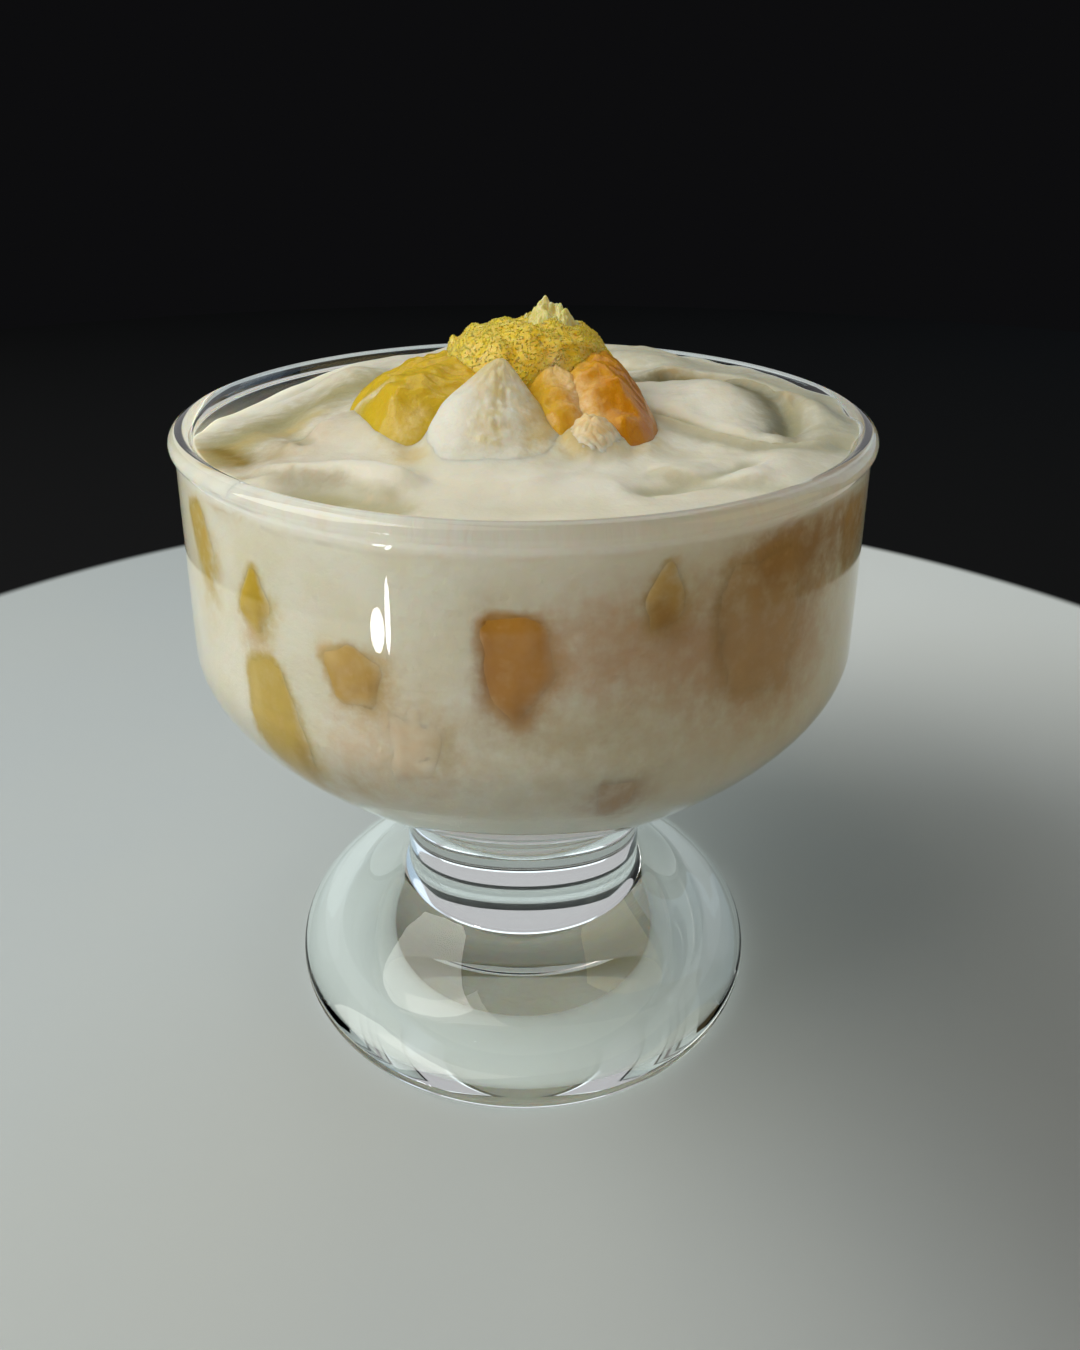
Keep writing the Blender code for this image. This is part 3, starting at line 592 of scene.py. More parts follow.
def blend(tree, share, a, b):
    """Colour a going over to colour b with the share."""
    node = add(tree, "ShaderNodeMix", {0: share}, data_type="RGBA")
    for socket, value in ((node.inputs[6], a), (node.inputs[7], b)):
        if isinstance(value, bpy.types.NodeSocket):
            tree.links.new(value, socket)
        else:
            socket.default_value = (*value, 1.0)
    return node.outputs[2]


def colour_ramp(tree, value, stops):
    """The value turned to a colour through stops of (value, colour)."""
    node = add(tree, "ShaderNodeValToRGB", {"Fac": value})
    elements = node.color_ramp.elements
    while len(elements) < len(stops):
        elements.new(0.5)
    for element, (at, colour) in zip(elements, stops):
        element.position = at
        element.color = (*colour, 1.0)
    return node.outputs["Color"]


def paint(tree, shader, colour):
    """Gives the shader this colour."""
    tree.links.new(colour, shader.inputs["Base Color"])


def cream_mottle(tree):
    """Cream with broad soft mottles."""
    return blend(tree, ramp(tree, object_noise(tree, CREAM_MOTTLE), 0.35, 0.65), CREAM, CREAM_LIGHT)


def laid_over(tree, base, mottle_size, peach=0.15):
    """The colour and strength in the attribute "tint" laid over the base, mottled and with ragged edges."""
    tint = add(tree, "ShaderNodeAttribute", attribute_name="tint")
    mottle = object_noise(tree, mottle_size, detail=5.0, roughness=0.6)
    strength = tint.outputs["Alpha"]
    rest = maths(tree, "SUBTRACT", 1.0, strength)
    uneven = maths(tree, "MULTIPLY_ADD", mottle, RAGGED, -RAGGED / 2)
    ragged = maths(tree, "MULTIPLY", maths(tree, "MULTIPLY", strength, rest), uneven)
    share = add(tree, "ShaderNodeMath", {0: strength, 1: ragged}, operation="ADD", use_clamp=True).outputs[0]
    lighter = ramp(tree, mottle, 0.5, 0.72, (0.0, peach))
    return blend(tree, share, base, blend(tree, lighter, tint.outputs["Color"], PEACH))


def bump(tree, shader, height, distance):
    """Raises the shader's surface by the height, which is this many millimetres where it is 1."""
    raised = add(tree, "ShaderNodeBump", {"Height": height, "Distance": distance * MM}).outputs[0]
    tree.links.new(raised, shader.inputs["Normal"])


# ---- materials
def make_glass_material():
    """Clear glass with a faint grey-green tint, which lets light through to what it holds."""
    mat, tree, shader = new_material(
        "clear_glass", GLASS_TINT, Roughness=0.0, IOR=1.5, Transmission_Weight=1.0,
    )
    shade = add(tree, "ShaderNodeBsdfTransparent", {"Color": (*GLASS_TINT, 1.0)}).outputs[0]
    shadow = add(tree, "ShaderNodeLightPath").outputs["Is Shadow Ray"]
    mix = add(tree, "ShaderNodeMixShader", {0: shadow, 1: shader.outputs[0], 2: shade})
    tree.links.new(mix.outputs[0], tree.nodes["Material Output"].inputs["Surface"])
    return mat


def make_mousse_material():
    """Soft mousse: pale cream with painted shade and some fruit colour low in the folds, under a tint of
    fruit stains, painted shade and painted light.
    """
    mat, tree, shader = new_material("mousse", CREAM, Roughness=0.40, **CREAMY)
    crease = add(tree, "ShaderNodeAttribute", attribute_name="crease").outputs["Fac"]
    colour = blend(tree, crease, cream_mottle(tree), CREAM_SHADE)
    paint(tree, shader, laid_over(tree, colour, *WALL_MOTTLE))
    bump(tree, shader, object_noise(tree, 1.3, detail=4.0), 0.14)
    return mat


def make_cream_material():
    """Whipped cream, a little glossier than the mousse, with juice and bits of fruit in it and painted light
    down the dollop's left side.
    """
    mat, tree, shader = new_material(
        "whipped_cream", CREAM_LIGHT, Roughness=0.36, Coat_Weight=0.1, Coat_Roughness=0.15, **CREAMY,
    )
    paint(tree, shader, laid_over(tree, cream_mottle(tree), DOLLOP_MOTTLE))
    bump(tree, shader, object_noise(tree, 1.1, detail=4.0), 0.18)
    return mat


def make_fruit_material(name, tones, light, share, soft, grain, relief):
    """Wet fruit flesh whose colour changes from left to right, with lighter fibres in it."""
    mat, tree, shader = new_material(
        name, YELLOW, Roughness=0.35, Subsurface_Weight=soft, Subsurface_Scale=0.0025,
        Subsurface_Radius=(1.0, 0.6, 0.15), Specular_IOR_Level=0.1, Coat_Weight=0.35, Coat_Roughness=0.08,
    )
    across = add(tree, "ShaderNodeSeparateXYZ", {0: object_place(tree)}).outputs["X"]
    across = maths(tree, "MULTIPLY_ADD", across, *TONE_SPREAD)
    wavering = maths(tree, "MULTIPLY_ADD", object_noise(tree, 4.0), 0.3, -0.15)
    colour = colour_ramp(tree, maths(tree, "ADD", across, wavering), tones)
    fine = object_noise(tree, grain, detail=5.0, roughness=0.6)
    colour = blend(tree, ramp(tree, fine, 0.45, 0.75, (0.0, share)), colour, light)
    paint(tree, shader, laid_over(tree, colour, FLESH_MOTTLE))
    bump(tree, shader, fine, relief)
    return mat


def make_wall_fruit_material():
    """Fruit seen through the glass, which fades into the mousse beside it."""
    mat, tree, shader = new_material(
        "fruit_behind_glass", AMBER, Roughness=0.35, Subsurface_Weight=0.25, Subsurface_Scale=0.0015, **SOFT,
    )
    paint(tree, shader, laid_over(tree, cream_mottle(tree), *WALL_MOTTLE))
    return mat


def make_floor_material():
    """Pale floor that falls off into the dark further out, with painted shadow near at the right and painted
    light far at the right.
    """
    mat, tree, shader = new_material("floor", FLOOR_PALE, Roughness=0.6, Specular_IOR_Level=0.1)
    place = object_place(tree)
    away = add(tree, "ShaderNodeVectorMath", {0: place}, operation="LENGTH").outputs["Value"]
    far = ramp(tree, away, *PALE_FLOOR)
    mottle = ramp(tree, object_noise(tree, FLOOR_MOTTLE[0]), 0.3, 0.7, (0.0, FLOOR_MOTTLE[1]))
    spot = add(tree, "ShaderNodeSeparateXYZ", {0: place}).outputs
    # painted shadow near at the right, painted light far at the right
    beside = blend(tree, ramp(tree, spot["Y"], *FLOOR_DEPTH), FLOOR_SHADED, FLOOR_LIT)
    pale = blend(tree, mottle, blend(tree, ramp(tree, spot["X"], *FLOOR_RIGHT), FLOOR_PALE, beside), CREAM)
    paint(tree, shader, blend(tree, far, pale, FLOOR_DARK))
    tree.links.new(ramp(tree, away, *PALE_FLOOR, (0.1, 0.0)), shader.inputs["Specular IOR Level"])
    return mat


# ---- Geometry Nodes
def new_tree(name, inputs):
    """A geometry tree with a mesh in and out and these named inputs, and its group nodes."""
    tree = bpy.data.node_groups.new(name, "GeometryNodeTree")
    tree.interface.new_socket("Geometry", in_out="INPUT", socket_type="NodeSocketGeometry")
    tree.interface.new_socket("Geometry", in_out="OUTPUT", socket_type="NodeSocketGeometry")
    for label, kind in inputs:
        tree.interface.new_socket(label, in_out="INPUT", socket_type="NodeSocket" + kind)
    return tree, tree.nodes.new("NodeGroupInput").outputs, tree.nodes.new("NodeGroupOutput").inputs


def end_tree(tree, given, out, geometry):
    """The tree's last steps: real geometry in the given material."""
    real = add(tree, "GeometryNodeRealizeInstances", {"Geometry": geometry}).outputs[0]
    done = add(tree, "GeometryNodeSetMaterial", {"Geometry": real, "Material": given["Material"]}).outputs[0]
    tree.links.new(done, out["Geometry"])
    return tree


def run_tree(source, tree, name, mat, values):
    """The tree's result on the source object, as a new object. The source is removed."""
    step = source.modifiers.new("nodes", "NODES")
    step.node_group = tree
    for item in tree.interface.items_tree:
        if item.in_out == "INPUT" and item.name in values:
            step[item.identifier] = values[item.name]
    bpy.context.view_layer.update()
    mesh = bpy.data.meshes.new_from_object(source.evaluated_get(bpy.context.evaluated_depsgraph_get()))
    bpy.data.objects.remove(source)
    mesh.name = name
    return finished(name, mesh, mat)


def lathe_tree():
    """Turns an outline of points (radius, 0, height) about Z into a closed body."""
    tree, given, out = new_tree("turn_outline", (("Segments", "Int"), ("Material", "Material")))
    size = add(tree, "GeometryNodeAttributeDomainSize", {"Geometry": given["Geometry"]})
    rows = size.outputs["Point Count"]
    columns = maths(tree, "ADD", given["Segments"], 1.0)
    grid = add(tree, "GeometryNodeMeshGrid", {"Vertices X": columns, "Vertices Y": rows}).outputs["Mesh"]
    index = add(tree, "GeometryNodeInputIndex").outputs[0]
    row = maths(tree, "MODULO", index, rows)
    column = maths(tree, "FLOOR", maths(tree, "DIVIDE", index, rows))
    turn = maths(tree, "MULTIPLY", maths(tree, "DIVIDE", column, given["Segments"]), math.tau)
    place = add(tree, "GeometryNodeInputPosition").outputs[0]
    wanted = {"Geometry": given["Geometry"], "Value": place, "Index": row}
    outline = add(tree, "GeometryNodeSampleIndex", wanted, data_type="FLOAT_VECTOR").outputs["Value"]
    turned = {"Vector": outline, "Angle": turn}
    place = add(tree, "ShaderNodeVectorRotate", turned, rotation_type="Z_AXIS").outputs[0]
    moved = add(tree, "GeometryNodeSetPosition", {"Geometry": grid, "Position": place}).outputs[0]
    merged = add(tree, "GeometryNodeMergeByDistance", {"Geometry": moved, "Distance": MERGED}).outputs[0]
    return end_tree(tree, given, out, merged)


def grains_tree():
    """Scatters small drop-shaped grains over a surface, lying along it."""
    tree, given, out = new_tree("scatter_grains", (
        ("Density", "Float"), ("Seed", "Int"), ("Size", "Float"), ("Stretch", "Float"),
        ("Material", "Material"),
    ))
    seed = given["Seed"]
    grainy = add(tree, "GeometryNodeInputNamedAttribute", {"Name": "grainy"}, data_type="BOOLEAN")
    spread = add(tree, "GeometryNodeDistributePointsOnFaces", {
        "Mesh": given["Geometry"], "Density": given["Density"], "Seed": seed, "Selection": grainy.outputs[0],
    }).outputs
    ball = add(tree, "GeometryNodeMeshIcoSphere", {"Radius": given["Size"], "Subdivisions": 1}).outputs[0]
    turns = {0: (0, 0, 0), 1: (0.5, 0.5, math.tau), "Seed": seed}
    spin = add(tree, "FunctionNodeRandomValue", turns, data_type="FLOAT_VECTOR").outputs[0]
    spin = add(tree, "FunctionNodeEulerToRotation", {0: spin}).outputs[0]
    both = {"Rotation": spread["Rotation"], "Rotate By": spin}
    turned = add(tree, "FunctionNodeRotateRotation", both, rotation_space="LOCAL").outputs[0]
    sizes = {2: GRAIN_SIZES[0], 3: GRAIN_SIZES[1], "Seed": seed}
    size = add(tree, "FunctionNodeRandomValue", sizes).outputs[1]
    length = maths(tree, "MULTIPLY", size, given["Stretch"])
    shape = add(tree, "ShaderNodeCombineXYZ", {0: length, 1: size, 2: size}).outputs[0]
    placed = add(tree, "GeometryNodeInstanceOnPoints", {
        "Points": spread["Points"], "Instance": ball, "Rotation": turned, "Scale": shape,
    }).outputs[0]
    return end_tree(tree, given, out, placed)


# ---- the glass
def glass_outline():
    """The glass's outline: outside from the foot's middle up, over the rim, and down the inside."""
    foot = joined((0.0, 0.0), *(bezier(*curve, 12)[::-1] for curve in (FOOT_EDGE_CURVE, FOOT_TOP_CURVE)))
    stem = joined(*(bezier(*curve, 14)[::-1] for curve in (CONE_CURVE, FILLET_CURVE, NECK_CURVE)))
    bead_z = GLASS_HEIGHT - BEAD_HEIGHT / 2
    half = (RIM_RADIUS - WELL_RADIUS) / 2
    bead = arc((RIM_RADIUS - half, bead_z), (half, BEAD_HEIGHT / 2), -50, 180, 34)
    ledge = bezier(*LEDGE_CURVE, bead[0], 5)
    wall = [(BOWL_RADIUS, z) for z in np.linspace(BOWL_TURN_Z, LEDGE_CURVE[0][1], 8)]
    return joined(
        foot, stem, bezier(*BOWL_CURVE, 40)[::-1], wall, ledge, bead,
        [(WELL_RADIUS, z) for z in np.linspace(bead_z, WELL_TURN_Z, 9)[1:]], bezier(*WELL_CURVE, 36),
        bezier(*FLOOR_CURVE, 12), (0.0, WELL_FLOOR_Z),
    )


OUTLINE = glass_outline()
INNER_SIDE = OUTLINE[OUTLINE[:, 1].argmax():][::-1]  # from the well's floor up to the rim
WELL_LINE = bezier(*WELL_CURVE, 200)[::-1]
ROUND_WELL = math.tau * WELL_RADIUS  # once round its wall


def make_glass(mat):
    """The glass, turned from its outline."""
    mesh = bpy.data.meshes.new("outline")
    mesh.from_pydata([(r * MM, 0.0, z * MM) for r, z in OUTLINE], [], [])
    values = {"Segments": GLASS_SEGMENTS, "Material": mat}
    return run_tree(put("outline", mesh), lathe_tree(), "turned_glass", mat, values)


# ---- the mousse
EDGES = {name: rounded(piece["edge"], HEAP_ROUNDING) for name, piece in HEAP.items()}


def hump_height(x, y, cx, cy, a, b, turn, height):
    """A smooth hump with these half lengths."""
    c, s = math.cos(math.radians(turn)), math.sin(math.radians(turn))
    u = ((x - cx) * c + (y - cy) * s) / a
    v = (-(x - cx) * s + (y - cy) * c) / b
    return height * np.exp(-(u * u + v * v))


def sweep_height(x, y, cx, cy, radius, start, end, width, height):
    """A sweep of the spoon along part of a circle, which dies out at both ends."""
    middle, half = (start + end) / 2, (end - start) / 2
    turn = (np.degrees(np.arctan2(y - cy, x - cx)) - middle + 180) % 360 - 180
    across = (np.hypot(x - cx, y - cy) - radius) / width
    return height * bell(across) * ease((half - abs(turn)) / (SWEEP_FADE * half) + 0.5)


def mousse_top(plan):
    """Height of the mousse's surface at points in plan."""
    x, y = plan[:, 0], plan[:, 1]
    r = np.hypot(x, y)
    z = GLASS_HEIGHT - FILL_DROP + CROWN * (1 - ease(r / WELL_RADIUS))
    humps = sum(hump_height(x, y, *hump) for hump in HUMPS)
    z += humps * ease((WELL_RADIUS + HUMP_FADE[0] - r) / HUMP_FADE[1])
    z += sum(sweep_height(x, y, *sweep) for sweep in SWEEPS)
    z += RIPPLE_HEIGHT * bumps(plan, RIPPLE_LENGTH)
    turn = (np.degrees(np.arctan2(x, -y)) - DIP_AZIMUTH + 180) % 360 - 180
    inward = ease((r - DIP_RADII[0]) / (DIP_RADII[1] - DIP_RADII[0]))
    return z - DIP_DEPTH * bell(turn / DIP_SPREAD) * inward


def fold_height(plan, line, height, width):
    """A lip along a line: it drops steeply on its right and gently on its left."""
    along, left = beside_line(plan, line)
    ends = ease(along * FOLD_FADE + 0.1) * ease((1 - along) * FOLD_FADE + 0.1)
    return height * lip(left, width, FOLD_STEEP) * ends


def from_fruit(plan):
    """How far each place is outside each piece of fruit that lies on the mousse."""
    for name, piece in HEAP.items():
        if name.startswith("fruit") and "lift" not in piece:
            yield np.maximum(outline_distance(plan, EDGES[name]), 0)


def mousse_skin(plan):
    """Height of the mousse's surface with its folds and fine relief, and where it laps the pieces on it."""
    z = mousse_top(plan)
    inward = ease((WELL_RADIUS - np.hypot(plan[:, 0], plan[:, 1])) / RELIEF_FADE)
    for fold in FOLDS:
        z += fold_height(plan, *fold) * inward
    for size, length in FINE_RELIEF:
        z += size * bumps(plan, length, length) * inward
    z += LAP[0] * np.exp(-np.min(list(from_fruit(plan)), axis=0) / LAP[1])
    for name in ("cream_dollop", "cream_fleck"):
        above = mound_top(name, plan) - z
        near = np.clip(1 - abs(above) / FILLET, 0, 1)
        z += np.maximum(above, 0) + near ** 2 * FILLET / 4 - FILLET_SINK * ease(above / FILLET)
    return z


def hollowness(plan, reach):
    """How far the surface lies below its surroundings at this distance, in millimetres."""
    return np.mean([mousse_top(plan + reach * way) for way in circle(8)], axis=0) - mousse_top(plan)


def make_mousse(mat):
    """The mousse: it fills the bowl up to the glass and is spooned into folds on top."""
    step = np.gradient(INNER_SIDE, axis=0)
    step /= np.linalg.norm(step, axis=1)[:, None]
    skin = INNER_SIDE + POKE * np.stack([step[:, 1], -step[:, 0]], 1)
    along = stations(skin)
    way = circle(MOUSSE_SEGMENTS)[:, ::-1] * (1, -1)
    edge_at = np.interp(mousse_skin(way * WELL_RADIUS), skin[:, 1], along)
    turn_at = np.interp(WELL_TURN_Z, skin[:, 1], along)
    places = [np.full(len(way), turn_at * k / BELLY_ROWS) for k in range(1, BELLY_ROWS + 1)]
    places += [turn_at + (edge_at - turn_at) * k / WALL_ROWS for k in range(1, WALL_ROWS + 1)]
    rows = []
    for place in places:
        radius, z = (np.interp(place, along, skin[:, k]) for k in (0, 1))
        rows.append(np.column_stack([way * radius[:, None], z]))
    edge = rows[-1][:, :2]
    for k in range(1, TOP_ROWS):
        plan = edge * (1 - k / TOP_ROWS)
        rows.append(np.column_stack([plan, mousse_skin(plan)]))
    ob = closed_body("spooned_mousse", rows, mat)
    points, _ = points_of(ob)
    on_top = np.arange(len(points)) >= len(places) * MOUSSE_SEGMENTS
    crease = np.zeros(len(points))
    plan = points[on_top, :2]
    # painted shade in the hollows, with some fruity mousse
    crease[on_top] = sum(ease(hollowness(plan, reach) / depth) * share for reach, depth, share in HOLLOWS)
    set_attribute(ob, "crease", "FLOAT", crease)
    tint = wall_tint(points)
    tint[on_top] = top_tint(points[on_top])
    set_attribute(ob, "tint", "FLOAT_COLOR", tint)
    return ob


def no_tint(count, tone):
    """A table of colours for this many points, whose last column is how strong they are."""
    return np.tile(np.array([*tone, 0.0]), (count, 1))


def lay(tint, tone, share):
    """Lays a colour over those in the table, as strong as its share at each point."""
    before = tint[:, 3] * (1 - share)
    total = np.maximum(before + share, 1e-6)
    tint[:, :3] = (tint[:, :3] * before[:, None] + np.array(tone) * share[:, None]) / total[:, None]
    tint[:, 3] = before + share


def lay_streaks(tint, plan, streaks):
    """Lays soft streaks along lines in plan."""
    for line, width, tone, strength in streaks:
        lay(tint, tone, strength * bell(beside_line(plan, line)[1] / width))


def top_tint(points):
    """Colour and strength of painted shade and juice on the mousse's top, and of the dollop's colours and
    painted light where the mousse runs into it.
    """
    plan = points[:, :2]
    tint = no_tint(len(plan), YELLOW)
    for away in from_fruit(plan):
        lay(tint, YELLOW, STAIN[0] * np.exp(-away / STAIN[1]))
    lay_streaks(tint, plan, STREAKS)
    lay_dollop(tint, points)
    return tint


def unrolled(points):
    """Points on the wall as (distance round the bowl, height)."""
    turn = np.arctan2(points[:, 0], -points[:, 1])
    return np.stack([turn % math.tau * WELL_RADIUS, points[:, 2]], 1)


def wall_tint(points):
    """Colour and strength of the fruit seen through the glass, at points on or near the wall, with a band of
    painted light behind the rim.
    """
    flat = unrolled(points)
    tint = no_tint(len(points), HAZE)

    def from_middle(middle):
        away = flat - middle
        away[:, 0] = (away[:, 0] + ROUND_WELL / 2) % ROUND_WELL - ROUND_WELL / 2
        return away

    def lay_spots(spots):
        for azimuth, z, width, height, tone, strength in spots:
            away = from_middle((math.radians(azimuth) * WELL_RADIUS, z)) / (width, height)
            lay(tint, tone, strength * np.exp(-(away ** 2).sum(axis=1)))

    lay_spots(WALL_HAZE)
    for corners, _, tone, film in WALL_FRUIT.values():
        outline = wall_outline(corners)
        middle = outline.mean(axis=0)
        away = from_middle(middle)
        faded = ease(away @ FADE_WAY / abs(outline - middle).max() * 0.8 + 0.3)
        half = FADE[0] + (FADE[1] - FADE[0]) * faded
        lay(tint, tone, (1 - film) * ease(0.5 - outline_distance(away, outline - middle) / (2 * half)))
    lay_spots(WALL_MARKS)
    # painted light in a band behind the rim
    tone, start, height, strength = RIM_PAINTED_LIGHT
    lay(tint, tone, strength * ease((points[:, 2] - start) / height))
    return tint


# ---- fruit against the glass
def well_points(azimuth, z, depth):
    """Points that lie depth inside the bowl's inner face, square to it."""
    def radius_at(height):
        return np.interp(height, WELL_LINE[:, 1], WELL_LINE[:, 0])

    slope = np.arctan2(radius_at(z + 0.4) - radius_at(z - 0.4), 0.8)
    radius = radius_at(z) - depth * np.cos(slope)
    height = z + depth * np.sin(slope)
    return np.stack([radius * np.sin(azimuth), -radius * np.cos(azimuth), height], 1)


def wall_outline(corners):
    """A piece's outline on the unrolled wall, in millimetres both ways, within one lap."""
    outline = rounded(corners, WALL_FRUIT_ROUNDING)
    outline[:, 0] = np.radians(outline[:, 0]) * WELL_RADIUS
    outline[:, 0] += ROUND_WELL * (outline[:, 0].mean() < 0)
    return outline


def make_wall_fruit(name, mat, corners, depth, film):
    """A piece of fruit with its face on the glass and its body in the mousse."""
    outline = even_outline(wall_outline(corners), FRUIT_ROUND)
    middle = outline.mean(axis=0)
    seed = 7.0 * len(name) + middle[0]
    out = (outline - middle) * (1 + FRUIT_RAGGED[0] * bumps(outline, FRUIT_RAGGED[1], seed)[:, None])

    def ring(share, inset):
        flat = middle + out * share
        return well_points(flat[:, 0] / WELL_RADIUS, flat[:, 1], inset)

    rows = []
    for k in range(1, FRUIT_FACE_ROWS + 1):
        share = k / FRUIT_FACE_ROWS
        inner = 1 - share ** 4
        rough = sum(bumps(middle + out * share, length, seed) * size for size, length in FRUIT_ROUGH)
        proud = (FRUIT_PROUD * (1 - film) + FRUIT_SUNK) * inner - FRUIT_SUNK
        rows.append(ring(share, -POKE - proud - rough * inner))
    for k in range(1, FRUIT_SIDE_ROWS + 1):
        share = k / FRUIT_SIDE_ROWS
        tapered = (1 - FRUIT_TAPER * share) * (1 - 0.25 * share ** 6)
        rows.append(ring(tapered, depth * share))
    ob = closed_body("set_" + name, rows, mat)
    set_attribute(ob, "tint", "FLOAT_COLOR", wall_tint(points_of(ob)[0]))
    return ob


# ---- the heap
def edge_reach(outline, crest, way):
    """How far the outline is from the crest in a direction, in plan."""
    reach = 0.0
    for p, q in zip(outline, np.roll(outline, -1, axis=0)):
        side = q - p
        cross = way[0] * side[1] - way[1] * side[0]
        if abs(cross) < 1e-9:
            continue
        to = p - crest
        far = (to[0] * side[1] - to[1] * side[0]) / cross
        share = (to[0] * way[1] - to[1] * way[0]) / cross
        if far > 0 and -1e-6 <= share <= 1 + 1e-6:
            reach = max(reach, far)
    return reach


def smooth_reaches(outline, crest):
    """The reach in HEAP_ROUND directions, rounded over the corners as the solids are."""
    sharp = np.array([edge_reach(outline, crest, way) for way in circle(REACH_STEPS)])
    soft = sharp / 2 + (np.roll(sharp, 1) + np.roll(sharp, -1)) / 4
    waves = np.fft.rfft(soft)
    fine = np.zeros(HEAP_ROUND // 2 + 1, complex)
    fine[:len(waves)] = waves
    return np.fft.irfft(fine, HEAP_ROUND) * HEAP_ROUND / REACH_STEPS


def mound_top(name, plan):
    """Height of the top of a piece of the heap at points in plan. Beyond its edge it goes down."""
    piece = HEAP[name]
    away = plan - piece["crest"]
    far = np.linalg.norm(away, axis=1)
    turn = np.arctan2(away[:, 1], away[:, 0]) / math.tau % 1 * HEAP_ROUND
    reach = np.interp(turn, np.arange(HEAP_ROUND + 1), [*REACHES[name], REACHES[name][0]])
    share = np.minimum(far / reach, 1.0)
    frontward = away @ SKIRT_WAY / np.maximum(far, 1e-6)
    power = piece["fullness"][1] + piece.get("skirt", 0.0) * ease(frontward * 1.25 - 0.25)
    lift = piece.get("lift", 0.0)
    rise = (piece["height"] - lift) * (1 - share ** piece["fullness"][0]) ** power
    z = mousse_top(plan) - HEAP_SEAT + lift + rise
    size, length = piece["relief"]
    rough = size * noise_at(np.column_stack([plan, z]), length) + SHAPES[name](plan)
    return z + rough * ease((1 - share) * 6) - np.maximum(far - reach, 0)


def make_mound(name, mat):
    """A rounded piece with its edge on the mousse, or lifted above it."""
    piece = HEAP[name]
    lift, belly = piece.get("lift", 0.0), piece.get("belly", HEAP_BELLY)
    way = circle(HEAP_ROUND) * REACHES[name][:, None]
    rows = []
    for k in range(1, HEAP_UP + 1):
        plan = piece["crest"] + way * (1 - (1 - k / HEAP_UP) ** 2)
        rows.append(np.column_stack([plan, mound_top(name, plan)]))
    for k in range(1, HEAP_UNDER):
        share = 1 - k / HEAP_UNDER
        plan = piece["crest"] + way * share
        rows.append(np.column_stack([plan, mousse_top(plan) - HEAP_SEAT + lift - belly * (1 - share ** 2)]))
    return closed_body("heap_" + name, rows, mat)


def dollop_shape(plan):
    """A sharp edge down the dollop's left side, and a band of bits down its front."""
    along, left = beside_line(plan, DOLLOP_EDGE)
    edge = lip(left, *DOLLOP_LIP) * ease((1 - along) * 4)
    return edge + 0.9 * bits_band(plan) * abs(bumps(plan, 1.1)) + 0.2 * bumps(plan, 1.8)


def bits_band(plan):
    """Where the dollop has bits of fruit in it."""
    along, left = beside_line(plan, BITS_LINE)
    return bell(left / BITS_WIDTH) * ease((1 - along) * 6 + 0.3)


def pulp_shape(plan):
    """Fine lumps, and a shred that stands up at the pulp's left end."""
    place, width, height = SHRED
    shred = height * bell(np.linalg.norm(plan - place, axis=1) / width)
    return 0.25 * bumps(plan, 1.4) + 0.12 * bumps(plan, 0.6) + shred


def flesh_shape(plan):
    """Lumps of soft flesh."""
    return 0.5 * bumps(plan, 2.6) + 0.3 * bumps(plan, 1.2)


SHAPES = {
    "cream_dollop": dollop_shape,
    "cream_fleck": lambda plan: 0.6 * abs(bumps(plan, 1.2)),
    "fruit_strip": lambda plan: 0.4 * bumps(plan, 1.8) + 0.3 * abs(bumps(plan, 0.8)),
    "fruit_left": flesh_shape,
    "fruit_right": flesh_shape,
    "fruit_crumb": lambda plan: 0.9 * abs(bumps(plan, 0.9)),
    "fruit_pulp": pulp_shape,
}
REACHES = {name: smooth_reaches(EDGES[name], np.array(piece["crest"])) for name, piece in HEAP.items()}


def above_mousse(points, start, height):
    """0 for points up to the start above the mousse, and 1 for those this height above that."""
    return ease((points[:, 2] - mousse_top(points[:, :2]) - start) / height)


def lay_dollop(tint, points):
    """Painted light down the dollop's left side, juice down its right and bits down its front, clear at its
    foot.
    """
    plan = points[:, :2]
    clear = above_mousse(points, *DOLLOP_CLEAR)
    # painted light on the dollop's left side
    lay(tint, DOLLOP_PAINTED_LIGHT, 0.8 * ease((-plan[:, 0] - 4.5) / 5) * clear)
    lay(tint, DOLLOP_JUICE, 0.85 * ease((plan[:, 0] + 2.0) / 4) * clear)
    lay(tint, DOLLOP_TIP, 0.7 * ease((points[:, 2] - DOLLOP_TIP_Z) / 3.0))
    bits = bits_band(plan) * clear
    lay(tint, BITS_PALE, 0.45 * bits)
    lay(tint, BITS_DEEP, 0.75 * bits * ease(bumps(plan, 1.3) * 1.6 + 0.35))


def heap_tint(ob, name):
    """Juice in the cream, which clears toward its foot, the dollop's painted light, and lighter bits and
    painted highlights on the fruit.
    """
    points, _ = points_of(ob)
    tint = no_tint(len(points), JUICE)
    if name == "cream_dollop":
        lay_dollop(tint, points)
    elif name == "cream_fleck":
        lay(tint, FLECK_JUICE, 0.75 * above_mousse(points, *FLECK_CLEAR))
    else:
        lay_streaks(tint, points[:, :2], HEAP_BITS_AND_HIGHLIGHTS)
    set_attribute(ob, "tint", "FLOAT_COLOR", tint)


def make_grains(source, name, mat, density, size, stretch, seed):
    """Small grains scattered over what faces up or out on a piece."""
    copy = put(name, source.data.copy())
    _, normal = points_of(copy)
    set_attribute(copy, "grainy", "FLOAT", ease(normal[:, 2] * 3 + 0.6))
    values = {"Density": density / MM ** 2, "Size": size * MM}
    values.update({"Seed": seed, "Stretch": stretch, "Material": mat})
    return run_tree(copy, grains_tree(), name, mat, values)


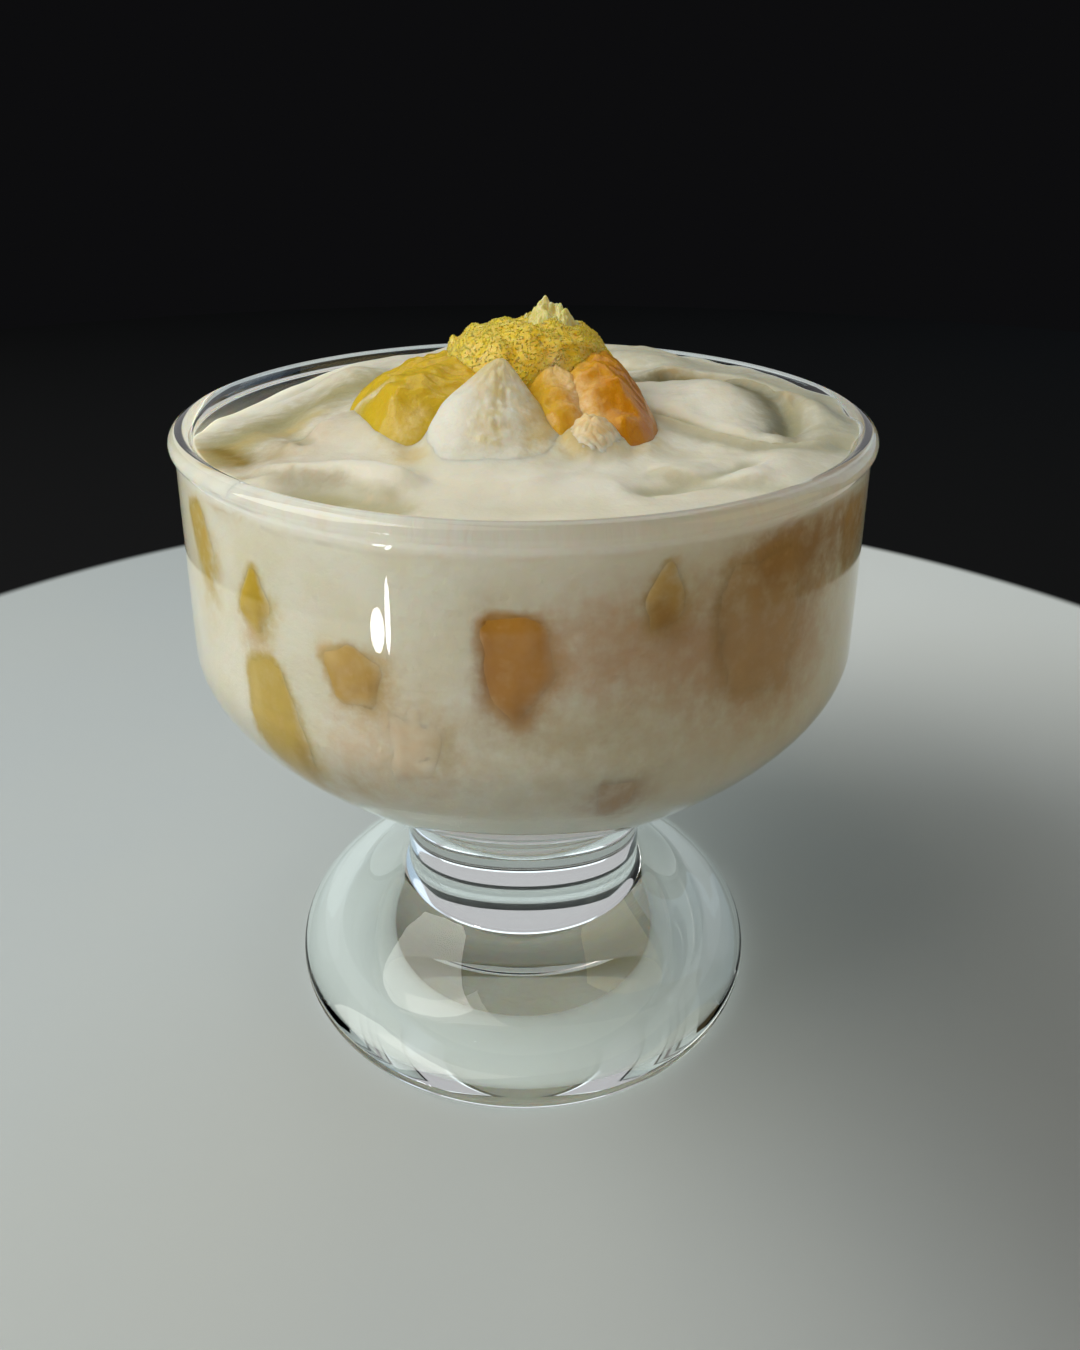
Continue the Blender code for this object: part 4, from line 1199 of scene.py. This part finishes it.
# ---- light, floor and camera
def add_light(name, azimuth, elevation, distance, size, power, colour, rest):
    """A soft flat light that faces the glass and isn't seen itself."""
    light = bpy.data.lights.new(name, "AREA")
    light.shape = rest.get("shape", "RECTANGLE")
    light.size, light.size_y = size
    light.energy = power
    light.color = colour
    ob = put(name, light)
    a, e = math.radians(azimuth), math.radians(elevation)
    way = Vector((math.sin(a) * math.cos(e), -math.cos(a) * math.cos(e), math.sin(e)))
    ob.location = Vector(AIM) + way * distance
    ob.rotation_euler = (Vector(AIM) - ob.location).to_track_quat("-Z", "Y").to_euler()
    ob.visible_camera = False
    ob.visible_diffuse = rest.get("diffuse", True)
    ob.visible_glossy = rest.get("glossy", True)


def make_stage():
    """The floor, the lights and the camera."""
    scene = bpy.context.scene
    mesh = bpy.data.meshes.new("floor")
    corners = [(x, y, FLOOR_Z * MM) for x, y in circle(64) * FLOOR_RADIUS]
    mesh.from_pydata(corners, [], [list(range(64))])
    mesh.materials.append(make_floor_material())
    floor = put("floor", mesh)

    world = bpy.data.worlds.new("studio")
    world.use_nodes = True
    world.node_tree.nodes["Background"].inputs["Color"].default_value = (*WORLD, 1.0)
    world.node_tree.nodes["Background"].inputs["Strength"].default_value = 1.0
    scene.world = world
    for name, settings in LIGHTS.items():
        add_light(name, *settings)
    glass_only = bpy.data.collections.new("glass_only")
    glass_only.objects.link(bpy.data.objects["turned_glass"])
    bpy.data.objects["back_wall"].light_linking.receiver_collection = glass_only
    scene.view_settings.view_transform = "Standard"

    camera = bpy.data.cameras.new("camera")
    camera.lens = CAMERA_LENS
    camera.shift_x, camera.shift_y = CAMERA_SHIFT
    ob = put("camera", camera)
    ob.location = CAMERA_PLACE
    ob.rotation_euler = (math.radians(90 - CAMERA_TILT), 0.0, 0.0)
    scene.camera = ob


# ---- the whole
def dress(ob, node):
    """The piece stands for the node, whose part is hidden, and rides with the root."""
    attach(ob, "root")
    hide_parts(node)


def main():
    """Every piece with its node and its finish, and then what stands round them."""
    dress(make_glass(make_glass_material()), "glass")
    dress(make_mousse(make_mousse_material()), "mousse")
    behind_glass = make_wall_fruit_material()
    for name, (corners, depth, _, film) in WALL_FRUIT.items():
        piece = make_wall_fruit("fruit_wall_" + name, behind_glass, corners, depth, film)
        dress(piece, "fruit_wall_" + name)
    cream = make_cream_material()
    fruit = {name: make_fruit_material(name, *look) for name, look in FRUIT_LOOKS.items()}
    for name in HEAP:
        mat = cream if name.startswith("cream") else fruit.get(name, fruit["fruit_flesh"])
        piece = make_mound(name, mat)
        heap_tint(piece, name)
        dress(piece, name)
        if name == "fruit_pulp":
            grains = make_grains(piece, "pulp_grains", mat, **GRAINS)
            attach(grains, "root")
    make_stage()


main()
